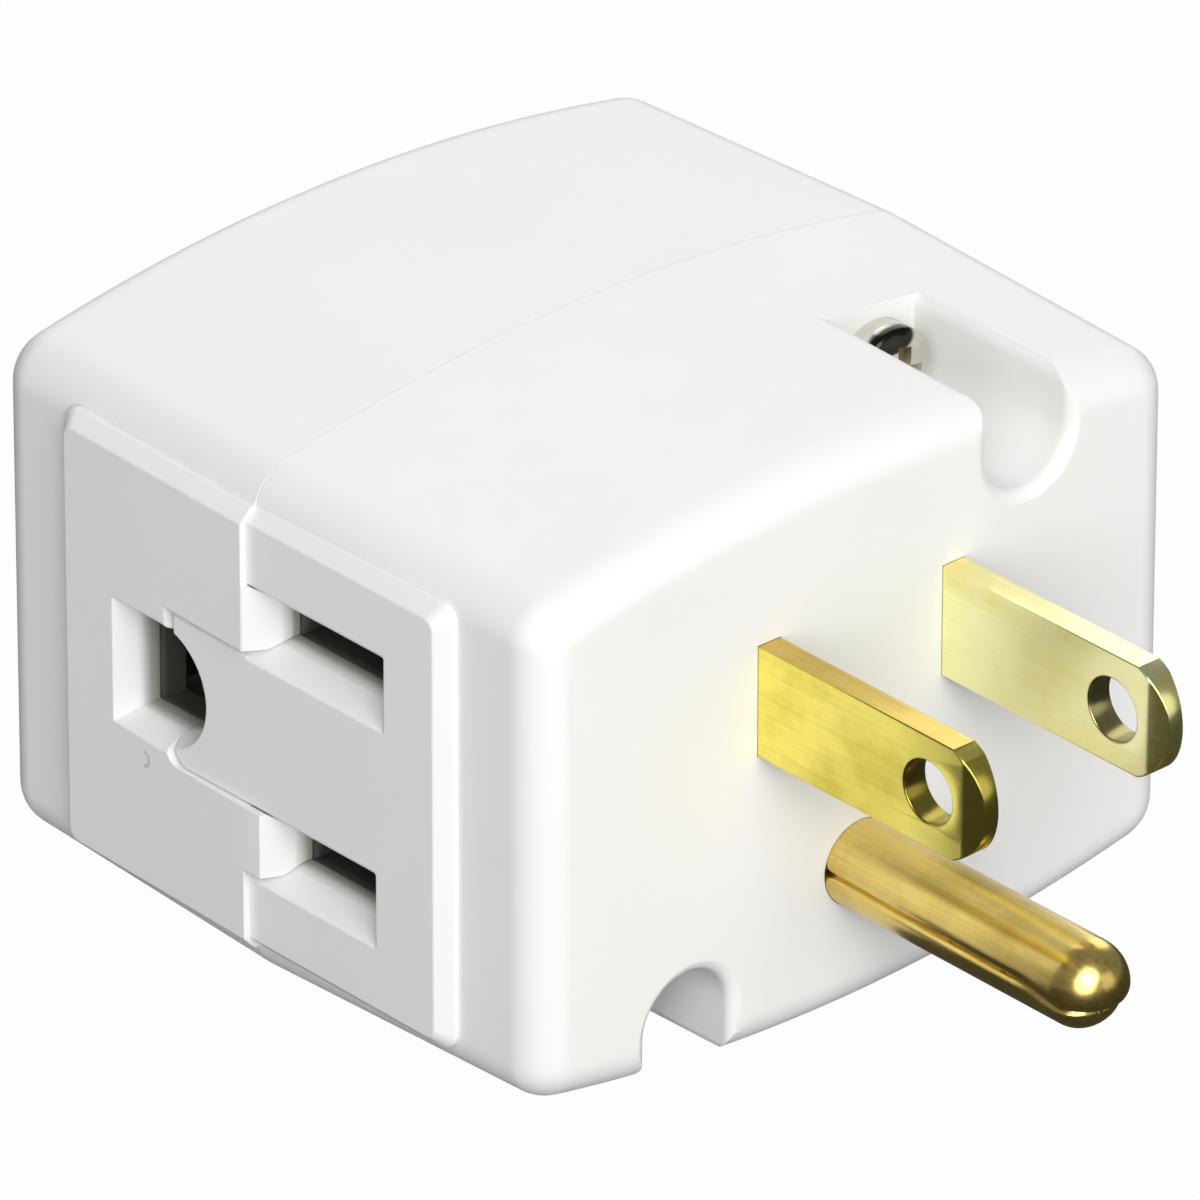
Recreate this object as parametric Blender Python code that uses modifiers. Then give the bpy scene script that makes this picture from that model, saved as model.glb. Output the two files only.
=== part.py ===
"""Cube outlet adapter: a grounded plug body with three grounded outlets, on its back and both sides.

The plug face is the plane Y = 0 and the blades point to +Y. The origin lies on that face, midway
between the two blades. +Z is up, with the ground pin below the blades. Units are metres.
"""
import bpy
import bmesh
from math import asin, cos, pi, radians, sin, sqrt, tan
from mathutils import Matrix, Vector

MM = 0.001

# Body shell: two moulded halves that meet at a plane across the plug direction
BODY_WIDTH = 45.0 * MM
BODY_DEPTH = 41.7 * MM
BODY_HEIGHT = 33.6 * MM
CROWN_RADIUS = 101.0 * MM
CORNER_RADIUS = 2.7 * MM
DRAFT = radians(1.5)
WALL = 2.0 * MM
SHELL_STEP = 0.12 * MM
BODY_MID_Z = -4.4 * MM

# Raised outlet plates
PLATE_LENGTH = 28.2 * MM
PLATE_BAND = 4.8 * MM
PLATE_PROUD = 0.95 * MM
PLATE_SETBACK = 0.40 * MM
PLATE_BEVEL = 0.80 * MM
PLATE_CORNER = 0.8 * MM

# Receptacle layout, seen from in front of an outlet: ground left, neutral above, hot below
SLOT_SPACING = 12.7 * MM
SLOT_OFFSET = 5.15 * MM
FUNNEL_DEPTH = 1.8 * MM
FUNNEL_INSET = 1.15 * MM
THROAT_DEPTH = 0.5 * MM
THROAT_RELIEF = 0.45 * MM
SLOT_MOUTH_HEIGHT = 4.3 * MM
NEUTRAL_MOUTH_LENGTH = 10.5 * MM
HOT_MOUTH_LENGTH = 9.15 * MM
NEUTRAL_END_LIP = 0.05 * MM
NEUTRAL_END_THROAT = 1.50 * MM
HOT_END_LIP = 1.28 * MM
HOT_END_THROAT = 2.31 * MM
GROUND_MOUTH_HALF = 3.65 * MM
GROUND_DEPTH = 1.4 * MM
GROUND_INSET = 0.7 * MM
GROUND_THROAT_DEPTH = 1.3 * MM
SLEEVE_DEPTH = 4.85 * MM
SLEEVE_WALL = 1.2 * MM
TONGUE_CHAMFER = 0.50 * MM
TONGUE_END = 6.10 * MM
TONGUE_END_SLOPE = 0.40 * MM
TONGUE_CORNER = 1.0 * MM
MATE_GAP = 0.08 * MM

# Plug blades and ground pin
BLADE_SPACING = 12.7 * MM
BLADE_WIDTH = 6.35 * MM
BLADE_THICKNESS = 1.52 * MM
BLADE_LENGTH = 16.4 * MM
ROOT_MARGIN = 0.2 * MM
BLADE_TIP_RADIUS = 3.45 * MM
BLADE_TIP_THICKNESS = 0.9 * MM
BLADE_TAPER_LENGTH = 1.4 * MM
BLADE_HOLE_DIAMETER = 3.8 * MM
BLADE_HOLE_SETBACK = 4.0 * MM
BLADE_EAR = 0.3 * MM
PIN_DIAMETER = 4.8 * MM
PIN_LENGTH = 18.9 * MM
PIN_DROP = 11.9 * MM
PIN_WALL = 0.9 * MM
PIN_SEAM_WIDTH = 0.30 * MM
PIN_SEAM_ANGLE = radians(4)
PIN_SEAM_END = 3.0 * MM
PIN_SLIT_DROP = 0.75 * MM
PIN_SLIT_WIDTH = 0.14 * MM
PIN_SLIT_DEPTH = 1.5 * MM
PIN_COLLAR_RADIUS = 3.0 * MM
PIN_COLLAR_LENGTH = 0.5 * MM
PAD_DEPTH = 6.0 * MM
PAD_MARGIN = 2.0 * MM
SLIP = 0.10 * MM

# Housing screws and the open channels that their heads lie in
SCREW_SIDE_INSET = 10.9 * MM
SCREW_TOP_INSET = 4.15 * MM
CHANNEL_RADIUS = 2.9 * MM
CHANNEL_DEPTH = 12.2 * MM
CHANNEL_LIP = 0.7 * MM
CASING_WALL = 0.9 * MM
SCREW_DIAMETER = 3.0 * MM
SCREW_HEAD_DIAMETER = 5.1 * MM
SCREW_HEAD_HEIGHT = 2.1 * MM
SCREW_LENGTH = 20.0 * MM
RECESS_WIDTH = 0.9 * MM
RECESS_LENGTH = 3.2 * MM
RECESS_DEPTH = 1.0 * MM
BOSS_RADIUS = 2.8 * MM

# Strip metal inside: bus plates, spring jaws, ground clips and rivets
BUS_THICKNESS = 0.8 * MM
BUS_RISE = 8.0 * MM
GROUND_BUS_DROP = 3.45 * MM
BUS_MARGIN = 2.0 * MM
ARM_REACH = 3.0 * MM
TAB_GAP = 0.35 * MM
TAB_LENGTH = 3.8 * MM
SPRING_THICKNESS = 0.5 * MM
JAW_WIDTH = 7.0 * MM
JAW_START = 5.3 * MM
JAW_NEAR = 2.45 * MM
JAW_GAP = 1.3 * MM
JAW_CONTACT = 9.0 * MM
JAW_FLARE = 0.75 * MM
CLIP_INNER = 4.4 * MM
CLIP_HEIGHT = 2.5 * MM
CLIP_FLARE = 0.6 * MM
CLIP_NEAR = 5.0 * MM
RIVET_RADIUS = 0.8 * MM
RIVET_HEAD_RADIUS = 1.25 * MM
RIVET_HEAD_HEIGHT = 0.4 * MM
JAW_RIVET_NEAR = 5.15 * MM
CLIP_RIVET_NEAR = 11.0 * MM
POST_NEAR = 15.0 * MM
RIB_THICKNESS = 1.4 * MM
RIB_LENGTH = 6.0 * MM
POST_RADIUS = 1.3 * MM

# Smoothness of round forms
CROWN_STEPS = 16
CORNER_STEPS = 5
RIM_STEPS = 4
ARC_STEPS = 10
TURN_STEPS = 20

# Places worked out from the sizes above
RIM_RADIUS = 0.85 * CORNER_RADIUS
GROUND_OFFSET = PIN_DROP - SLOT_OFFSET
PLATE_HEIGHT = BODY_HEIGHT - 2 * PLATE_BAND
SCREW_X = BODY_WIDTH / 2 - SCREW_SIDE_INSET
SCREW_RISE = BODY_HEIGHT / 2 - SCREW_TOP_INSET
HALF_DEPTH = BODY_DEPTH / 2
SPLIT_Y = -HALF_DEPTH
CENTRE = Vector((0, SPLIT_Y, BODY_MID_Z))
PLUG_PLATE_FACE = BODY_WIDTH / 2 + PLATE_PROUD - PLATE_SETBACK
REAR_PLATE_FACE = BODY_WIDTH / 2 + PLATE_PROUD
END_PLATE_FACE = HALF_DEPTH + PLATE_PROUD
WALL_INSIDE = BODY_WIDTH / 2 - WALL
SLOT_RISE = SLOT_SPACING / 2
TONGUE_HALF = SLOT_RISE - SLOT_MOUTH_HEIGHT / 2
TONGUE_SLOPE_DEPTH = TONGUE_CHAMFER * FUNNEL_DEPTH / FUNNEL_INSET
PIN_RADIUS = PIN_DIAMETER / 2
PIN_RISE = -PIN_DROP - BODY_MID_Z
CHANNEL_END_Y = -CHANNEL_DEPTH
CASING_RADIUS = CHANNEL_RADIUS + CASING_WALL
RIVET_HOLE_RADIUS = RIVET_RADIUS + SLIP

TAB_FRONT_Y = -PAD_DEPTH - TAB_GAP
TAB_REAR_Y = TAB_FRONT_Y - TAB_LENGTH
TAB_MID_Y = (TAB_FRONT_Y + TAB_REAR_Y) / 2
ROOT_Y = TAB_REAR_Y - ROOT_MARGIN

# Each outlet is the photographed one turned about the body's upright centre line
OUTLETS = {"right": 0, "rear": -90, "left": 180}
SLOT_FACE = {"right": PLUG_PLATE_FACE, "rear": END_PLATE_FACE,
             "left": REAR_PLATE_FACE - SLOT_OFFSET * tan(DRAFT)}
HOLE_FACE = {"right": REAR_PLATE_FACE - GROUND_OFFSET * tan(DRAFT), "rear": END_PLATE_FACE,
             "left": PLUG_PLATE_FACE}
# The left ends of the side slots belong to the half that has the ground hole
END_TOP = {"right": REAR_PLATE_FACE, "left": PLUG_PLATE_FACE}
SLOT_ENDS = {"neutral": (NEUTRAL_END_LIP, NEUTRAL_END_THROAT), "hot": (HOT_END_LIP, HOT_END_THROAT)}
# The screws stand at opposite corners: the upper one at -X, the lower one at +X
SCREWS = {"upper": (-SCREW_X, SCREW_RISE), "lower": (SCREW_X, -SCREW_RISE)}


def clear_scene():
    """Empty the start-up scene."""
    for item in list(bpy.data.objects):
        bpy.data.objects.remove(item, do_unlink=True)


def make_collection(name):
    """A collection linked to the scene."""
    group = bpy.data.collections.new(name)
    bpy.context.scene.collection.children.link(group)
    return group


def make_material(name, colour, roughness, metallic=0.0):
    """A plain Principled material."""
    material = bpy.data.materials.new(name)
    material.use_nodes = True
    shader = material.node_tree.nodes["Principled BSDF"]
    shader.inputs["Base Color"].default_value = (*colour, 1.0)
    shader.inputs["Roughness"].default_value = roughness
    shader.inputs["Metallic"].default_value = metallic
    return material


def outlet_frame(outlet):
    """Axes of one outlet: X outward, Y to its viewer's right, Z up, from the body's centre."""
    return Matrix.Translation(CENTRE) @ Matrix.Rotation(radians(OUTLETS[outlet]), 4, "Z")


def loft(rings):
    """One closed bmesh through rings with the same number of points."""
    bm = bmesh.new()
    loops = [[bm.verts.new(point) for point in ring] for ring in rings]
    count = len(loops[0])
    for lower, upper in zip(loops, loops[1:]):
        for i in range(count):
            j = (i + 1) % count
            bm.faces.new((lower[i], lower[j], upper[j], upper[i]))
    bm.faces.new(loops[0])
    bm.faces.new(loops[-1])
    bmesh.ops.recalc_face_normals(bm, faces=bm.faces)
    return bm


def sweep(outline, axis, low, high):
    """A prism: an outline in the plane across an axis, carried from low to high along it."""
    rings = []
    for d in (low, high):
        order = {"X": lambda a, b: (d, a, b), "Y": lambda a, b: (a, d, b), "Z": lambda a, b: (a, b, d)}[axis]
        rings.append([order(a, b) for a, b in outline])
    return loft(rings)


def box(low, high):
    """A cuboid between two corners."""
    bm = bmesh.new()
    low, high = Vector(low), Vector(high)
    size = high - low
    place = Matrix.Translation((low + high) / 2) @ Matrix.Diagonal((*size, 1.0))
    bmesh.ops.create_cube(bm, size=1.0, matrix=place)
    return bm


def rod(centre, radius, low, high, axis="Y", steps=TURN_STEPS):
    """A cylinder along an axis, its centre given in the plane across that axis."""
    ring = [(centre[0] + radius * cos(2 * pi * i / steps), centre[1] + radius * sin(2 * pi * i / steps))
            for i in range(steps)]
    return sweep(ring, axis, low, high)


def moved(bm, matrix):
    """The same bmesh, placed by a matrix."""
    bmesh.ops.transform(bm, matrix=matrix, verts=bm.verts)
    return bm


def to_object(name, bodies, collection, material=None):
    """An object made of one or several separate bmesh bodies."""
    mesh = bpy.data.meshes.new(name)
    whole = bmesh.new()
    for bm in bodies:
        part = bpy.data.meshes.new("body")
        bm.to_mesh(part)
        bm.free()
        whole.from_mesh(part)
        bpy.data.meshes.remove(part)
    whole.to_mesh(mesh)
    whole.free()
    item = bpy.data.objects.new(name, mesh)
    collection.objects.link(item)
    if material:
        mesh.materials.append(material)
        finish_shading(item)
    return item


def finish_shading(item):
    """Smooth shading that keeps real edges sharp."""
    item.data.shade_smooth()
    item.data.set_sharp_from_angle(angle=radians(35))


def tool(name, bodies):
    """A hidden shape that a Boolean reads."""
    item = to_object(name, bodies, CUTTERS)
    item.hide_render = True
    item.display_type = "WIRE"
    return item


def combine(target, operation, other):
    """Add one exact Boolean step to an object."""
    step = target.modifiers.new(other.name, "BOOLEAN")
    step.operation = operation
    step.solver = "EXACT"
    step.object = other


def rectangle(left, right, bottom, top):
    """Corners of an upright rectangle."""
    return [(left, bottom), (right, bottom), (right, top), (left, top)]


def arc(centre, radius, start, end, steps):
    """Points along an arc, both ends included."""
    return [(centre[0] + radius * cos(start + (end - start) * i / steps),
             centre[1] + radius * sin(start + (end - start) * i / steps)) for i in range(steps + 1)]


def crowned_outline(pull, inset, side):
    """Body section in X and Z: upright sides, arched top and bottom, round corners."""
    half_width = BODY_WIDTH / 2 - pull - inset - side
    half_height = BODY_HEIGHT / 2 - pull - inset
    crown = CROWN_RADIUS - inset
    corner = CORNER_RADIUS - inset
    arch_z = half_height - crown
    corner_x = half_width - corner
    corner_z = arch_z + sqrt((crown - corner) ** 2 - corner_x ** 2)
    lean = asin(corner_x / (crown - corner))
    right = arc((corner_x, corner_z), corner, 0, pi / 2 - lean, CORNER_STEPS)
    top = arc((0, arch_z), crown, pi / 2 - lean, pi / 2, CROWN_STEPS // 2)[1:]
    quarter = right + top
    upper = quarter + [(-x, z) for x, z in reversed(quarter[:-1])]
    return upper + [(-x, -z) for x, z in upper]


def body_ring(y, inset, side=0.0):
    """The body section at one depth, drawn in by the draft, an inset and a further step at the sides."""
    pull = abs(y - SPLIT_Y) * tan(DRAFT)
    return [(x, y, z + BODY_MID_Z) for x, z in crowned_outline(pull, inset, side)]


def shell_blank(end_y, step):
    """Solid half of the body from the parting plane to one end, with a rounded rim."""
    way = 1 if end_y > SPLIT_Y else -1
    rings = [body_ring(SPLIT_Y, 0, step)]
    for i in range(RIM_STEPS + 1):
        turn = pi / 2 * i / RIM_STEPS
        y = end_y - way * RIM_RADIUS * (1 - sin(turn))
        rings.append(body_ring(y, RIM_RADIUS * (1 - cos(turn)), step))
    return loft(rings)


def shell_cavity(end_y):
    """Hollow of one half, open at the parting plane."""
    way = 1 if end_y > SPLIT_Y else -1
    overrun = SPLIT_Y - way * WALL
    ring = [(x, overrun, z) for x, _, z in body_ring(SPLIT_Y, WALL)]
    return loft([ring, body_ring(SPLIT_Y, WALL), body_ring(end_y - way * WALL, WALL)])


def plate_outline(left, right, inset):
    """Half or whole plate outline in an outlet's frame; an end at zero lies on the parting plane."""
    half_height = PLATE_HEIGHT / 2 + PLATE_BEVEL - inset
    points = []
    for end, start in ((right, -pi / 2), (left, pi / 2)):
        side = 1 if start < 0 else -1
        if end == 0:
            points += [(0, -side * half_height), (0, side * half_height)]
            continue
        reach = end - side * inset
        low = (reach - side * PLATE_CORNER, -side * (half_height - PLATE_CORNER))
        high = (reach - side * PLATE_CORNER, side * (half_height - PLATE_CORNER))
        points += arc(low, PLATE_CORNER, start, start + pi / 2, 3)
        points += arc(high, PLATE_CORNER, start + pi / 2, start + pi, 3)
    return points


def plate_body(outlet, left, right, face, root, draft=0.0):
    """Raised plate with bevelled edges, sunk into the wall at its root."""
    rings = []
    for depth, inset in ((None, 0), (PLATE_BEVEL, 0), (0, PLATE_BEVEL)):
        ring = []
        for u, w in plate_outline(left, right, inset):
            n = root if depth is None else face - depth - abs(u) * tan(draft)
            ring.append((n, u, w))
        rings.append(ring)
    return moved(loft(rings), outlet_frame(outlet))


def side_plate(outlet, half):
    """The part of a side plate that belongs to the plug half or the rear half."""
    reach = PLATE_LENGTH / 2 + PLATE_BEVEL
    forward = (outlet == "right") == (half == "plug")
    left, right = (0, reach) if forward else (-reach, 0)
    root = WALL_INSIDE + WALL / 2
    if half == "plug":
        return plate_body(outlet, left, right, PLUG_PLATE_FACE, root)
    return plate_body(outlet, left, right, REAR_PLATE_FACE, root, DRAFT)


def slot_sizes(pole):
    """Mouth of one blade slot in its outlet's frame: left end, right end and height of its middle."""
    length = NEUTRAL_MOUTH_LENGTH if pole == "neutral" else HOT_MOUTH_LENGTH
    rise = SLOT_RISE if pole == "neutral" else -SLOT_RISE
    return SLOT_OFFSET - length / 2, SLOT_OFFSET + length / 2, rise


def funnel(face, depth, inset, throat_depth, outline_at):
    """A mouth that narrows to a throat and is wider again behind it."""
    throat = face - depth - throat_depth
    wide = inset - THROAT_RELIEF
    stations = ((face + WALL, 0), (face, 0), (face - depth, inset), (throat, inset),
                (throat - THROAT_RELIEF, wide), (face - SLEEVE_DEPTH - WALL, wide))
    return loft([[(n, u, w) for u, w in outline_at(step)] for n, step in stations])


def slot_funnel(outlet, pole, open_left):
    """Cutter for one blade slot, open at its left end where the other half closes it."""
    left, right, rise = slot_sizes(pole)
    face = SLOT_FACE[outlet]
    half = SLOT_MOUTH_HEIGHT / 2

    def outline_at(inset):
        start = -MATE_GAP if open_left else left + inset
        return rectangle(start, right - inset, rise - half + inset, rise + half - inset)

    cutter = funnel(face, FUNNEL_DEPTH, FUNNEL_INSET, THROAT_DEPTH, outline_at)
    return moved(cutter, outlet_frame(outlet))


def slot_end(outlet, pole):
    """Left end of a slot, moulded on the half behind the parting plane, that fills the open funnel."""
    rise = slot_sizes(pole)[2]
    lip, throat = SLOT_ENDS[pole]
    face = SLOT_FACE[outlet]
    top = END_TOP[outlet]
    narrow = face - FUNNEL_DEPTH
    back = narrow - THROAT_DEPTH
    slope = (throat - lip) / (top - narrow)
    shoulder = face - TONGUE_SLOPE_DEPTH
    ceiling = max(0, face - top) / FUNNEL_DEPTH * FUNNEL_INSET
    half = SLOT_MOUTH_HEIGHT / 2 - MATE_GAP
    wide = FUNNEL_INSET - THROAT_RELIEF
    stations = [(top, lip, ceiling, TONGUE_CHAMFER)]
    if top > face:
        stations.append((face, lip + (top - face) * slope, 0, TONGUE_CHAMFER))
    stations += [(shoulder, lip + (top - shoulder) * slope, TONGUE_CHAMFER, TONGUE_CHAMFER),
                 (narrow, throat, FUNNEL_INSET, FUNNEL_INSET), (back, throat, FUNNEL_INSET, FUNNEL_INSET),
                 (back - THROAT_RELIEF, throat - THROAT_RELIEF, wide, wide),
                 (face - SLEEVE_DEPTH, throat - THROAT_RELIEF, wide, wide)]
    rings = []
    for n, end, down, up in stations:
        outline = rectangle(-MATE_GAP, end, rise - half + up, rise + half - down)
        rings.append([(n, u, w) for u, w in outline])
    return moved(loft(rings), outlet_frame(outlet))


def ground_funnel(outlet):
    """Cutter for the ground hole: square towards the left, round towards the slots."""

    def outline_at(inset):
        half = GROUND_MOUTH_HALF - inset
        round_side = arc((-GROUND_OFFSET, 0), half, -pi / 2, pi / 2, ARC_STEPS)
        return round_side + [(-GROUND_OFFSET - half, half), (-GROUND_OFFSET - half, -half)]

    cutter = funnel(HOLE_FACE[outlet], GROUND_DEPTH, GROUND_INSET, GROUND_THROAT_DEPTH, outline_at)
    return moved(cutter, outlet_frame(outlet))


def ground_sleeve(outlet):
    """Guide wall round a ground hole on the inside of the housing."""
    face = HOLE_FACE[outlet]
    half = GROUND_MOUTH_HALF - GROUND_INSET + SLEEVE_WALL
    low = (face - SLEEVE_DEPTH, -GROUND_OFFSET - half, -half)
    high = (face - FUNNEL_DEPTH - WALL / 4, -GROUND_OFFSET + half, half)
    return moved(box(low, high), outlet_frame(outlet))


def tongue_outline(end, low, high, root):
    """Outline of the tongue or of its recess, round at its lower left corner."""
    corner = arc((TONGUE_CORNER - end, low + TONGUE_CORNER), TONGUE_CORNER, pi, 3 * pi / 2, CORNER_STEPS)
    return corner + [(root, low), (root, high), (-end, high)]


def tongue(outlet):
    """Bridge between the slots that reaches across the parting plane to the ground hole."""
    face = PLUG_PLATE_FACE
    high = TONGUE_HALF + TONGUE_CHAMFER
    rings = []
    for n, end, top in ((WALL_INSIDE, TONGUE_END, high), (face - TONGUE_SLOPE_DEPTH, TONGUE_END, high),
                        (face, TONGUE_END - TONGUE_END_SLOPE, TONGUE_HALF)):
        rings.append([(n, u, w) for u, w in tongue_outline(end, -TONGUE_HALF, top, WALL / 2)])
    return moved(loft(rings), outlet_frame(outlet))


def tongue_recess(outlet):
    """Room for the tongue in the other half."""
    high = TONGUE_HALF + TONGUE_CHAMFER + MATE_GAP
    outline = tongue_outline(TONGUE_END + MATE_GAP, -TONGUE_HALF - MATE_GAP, high, 0)
    block = sweep(outline, "X", WALL_INSIDE - MATE_GAP, REAR_PLATE_FACE + WALL)
    return moved(block, outlet_frame(outlet))


def slot_sleeve(outlet, pole):
    """Guide wall round a slot on the inside of the housing."""
    left, right, rise = slot_sizes(pole)
    face = SLOT_FACE[outlet]
    start = left + FUNNEL_INSET - SLEEVE_WALL if outlet == "rear" else MATE_GAP
    half = SLOT_MOUTH_HEIGHT / 2 - FUNNEL_INSET + SLEEVE_WALL
    low = (face - SLEEVE_DEPTH, start, rise - half)
    high = (face - FUNNEL_DEPTH - WALL / 4, right - FUNNEL_INSET + SLEEVE_WALL, rise + half)
    return moved(box(low, high), outlet_frame(outlet))


def channel_outline(screw, radius, reach):
    """Round-ended channel section in X and Z, open away from the body's middle."""
    x, rise = SCREWS[screw]
    way = 1 if rise > 0 else -1
    bottom = arc((x, 0), radius, pi, 2 * pi, ARC_STEPS)
    points = bottom + [(x + radius, reach - abs(rise)), (x - radius, reach - abs(rise))]
    return [(a, BODY_MID_Z + rise + way * b) for a, b in points]


def channel_mouth(screw, radius, y):
    """Section of a channel at one depth, flared where it meets the crowned surface of the body."""
    x, rise = SCREWS[screw]
    way = 1 if rise > 0 else -1
    pull = abs(y - SPLIT_Y) * tan(DRAFT)
    points = arc((x, 0), radius, pi, 2 * pi, ARC_STEPS)
    for side in (1, -1):
        edge = x + side * radius
        level = BODY_HEIGHT / 2 - pull - edge ** 2 / (2 * CROWN_RADIUS) - CHANNEL_LIP / 2 - abs(rise)
        ladder = [(edge, level), (edge + side * WALL, level + WALL)]
        points += ladder if side > 0 else ladder[::-1]
    return [(a, y, BODY_MID_Z + rise + way * b) for a, b in points]


def screw_channel(screw):
    """Cutter for the open channel of one screw, with a flared lip at the plug face."""
    sections = ((CHANNEL_END_Y, 0), (-CHANNEL_LIP, 0), (0, CHANNEL_LIP), (WALL, CHANNEL_LIP + WALL))
    return loft([channel_mouth(screw, CHANNEL_RADIUS + grow, y) for y, grow in sections])


def channel_casing(screw):
    """Wall round the channel on the inside, with the seat that the screw head bears on."""
    reach = BODY_HEIGHT / 2 - WALL / 2 - (SCREW_X + CASING_RADIUS) ** 2 / (2 * CROWN_RADIUS)
    return sweep(channel_outline(screw, CASING_RADIUS, reach), "Y", CHANNEL_END_Y - WALL, -WALL / 2)


def screw_rod(screw, radius, low, high):
    """A cylinder on one screw's axis."""
    x, rise = SCREWS[screw]
    return rod((x, BODY_MID_Z + rise), radius, low, high)


def blade_slots():
    """Openings in the plug face for the blades and the ground pin."""
    bodies = []
    for side in (-1, 1):
        half_t = BLADE_THICKNESS / 2 + SLIP
        half_w = BLADE_WIDTH / 2 + SLIP
        x = side * BLADE_SPACING / 2
        bodies.append(box((x - half_t, -PAD_DEPTH - WALL, -half_w), (x + half_t, WALL, half_w)))
    bodies.append(rod((0, -PIN_DROP), PIN_RADIUS + SLIP, -PAD_DEPTH - WALL, WALL))
    return bodies


def blade_pad():
    """Thick block behind the plug face that grips the blades and the pin."""
    half = BLADE_SPACING / 2 + BLADE_THICKNESS / 2 + PAD_MARGIN
    low = (-half, -PAD_DEPTH, -PIN_DROP - PIN_RADIUS - PAD_MARGIN / 2)
    high = (half, -WALL / 2, BLADE_WIDTH / 2 + PAD_MARGIN / 2)
    return box(low, high)


def bus_rib(pole, half):
    """Upright rib that ends on a bus plate."""
    pole_way = 1 if pole == "neutral" else -1
    half_way = 1 if half == "plug" else -1
    seat = BODY_MID_Z + pole_way * (BUS_RISE + BUS_THICKNESS)
    wall = BODY_MID_Z + pole_way * (BODY_HEIGHT / 2 - WALL / 2)
    near = SPLIT_Y + half_way * BUS_MARGIN
    far = near + half_way * RIB_LENGTH
    low = (-RIB_THICKNESS / 2, min(near, far), min(seat, wall))
    high = (RIB_THICKNESS / 2, max(near, far), max(seat, wall))
    return box(low, high)


def clip_place(outlet, reach):
    """A point on the ground hole's middle line, a given way out from the body's middle."""
    return outlet_frame(outlet) @ Vector((reach, -GROUND_OFFSET, 0))


def ground_post(outlet):
    """Post from the floor to the underside of the ground bus, below one ground clip."""
    spot = clip_place(outlet, POST_NEAR)
    floor = BODY_MID_Z - BODY_HEIGHT / 2 + WALL / 2 + spot.x ** 2 / (2 * CROWN_RADIUS)
    seat = BODY_MID_Z - GROUND_BUS_DROP - BUS_THICKNESS
    return rod((spot.x, spot.y), POST_RADIUS, floor, seat, "Z", ARC_STEPS)


def make_plug_housing():
    """Front half: plug face, blade pad, screw channels, the right slots and the left ground hole."""
    item = to_object("plug_housing", [shell_blank(0, SHELL_STEP)], PARTS, WHITE)
    combine(item, "DIFFERENCE", tool("plug_cavity", [shell_cavity(0)]))
    combine(item, "UNION", tool("plug_plates", [side_plate("right", "plug"), side_plate("left", "plug")]))
    combine(item, "UNION", tool("plug_pad", [blade_pad()]))
    combine(item, "UNION", tool("plug_casings", [channel_casing(screw) for screw in SCREWS]))
    bosses = [screw_rod(screw, BOSS_RADIUS, SPLIT_Y, CHANNEL_END_Y - WALL / 2) for screw in SCREWS]
    combine(item, "UNION", tool("plug_bosses", bosses))
    supports = [bus_rib("neutral", "plug"), bus_rib("hot", "plug"), ground_post("left")]
    combine(item, "UNION", tool("plug_supports", supports))
    sleeves = [slot_sleeve("right", pole) for pole in ("neutral", "hot")] + [ground_sleeve("left")]
    combine(item, "UNION", tool("plug_sleeves", sleeves))
    combine(item, "DIFFERENCE", tool("plug_tongue_recess", [tongue_recess("left")]))
    ends = [slot_end("left", pole) for pole in ("neutral", "hot")]
    combine(item, "UNION", tool("plug_tongue", [tongue("right")] + ends))
    slots = [slot_funnel("right", pole, True) for pole in ("neutral", "hot")]
    combine(item, "DIFFERENCE", tool("plug_slots", slots))
    combine(item, "DIFFERENCE", GROUND_CUTTER)
    combine(item, "DIFFERENCE", tool("plug_blade_slots", blade_slots()))
    combine(item, "DIFFERENCE", tool("plug_channels", [screw_channel(screw) for screw in SCREWS]))
    holes = [screw_rod(screw, SCREW_DIAMETER / 2 + 2 * SLIP, SPLIT_Y - WALL, CHANNEL_END_Y + WALL)
             for screw in SCREWS]
    combine(item, "DIFFERENCE", tool("plug_screw_holes", holes))


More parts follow.
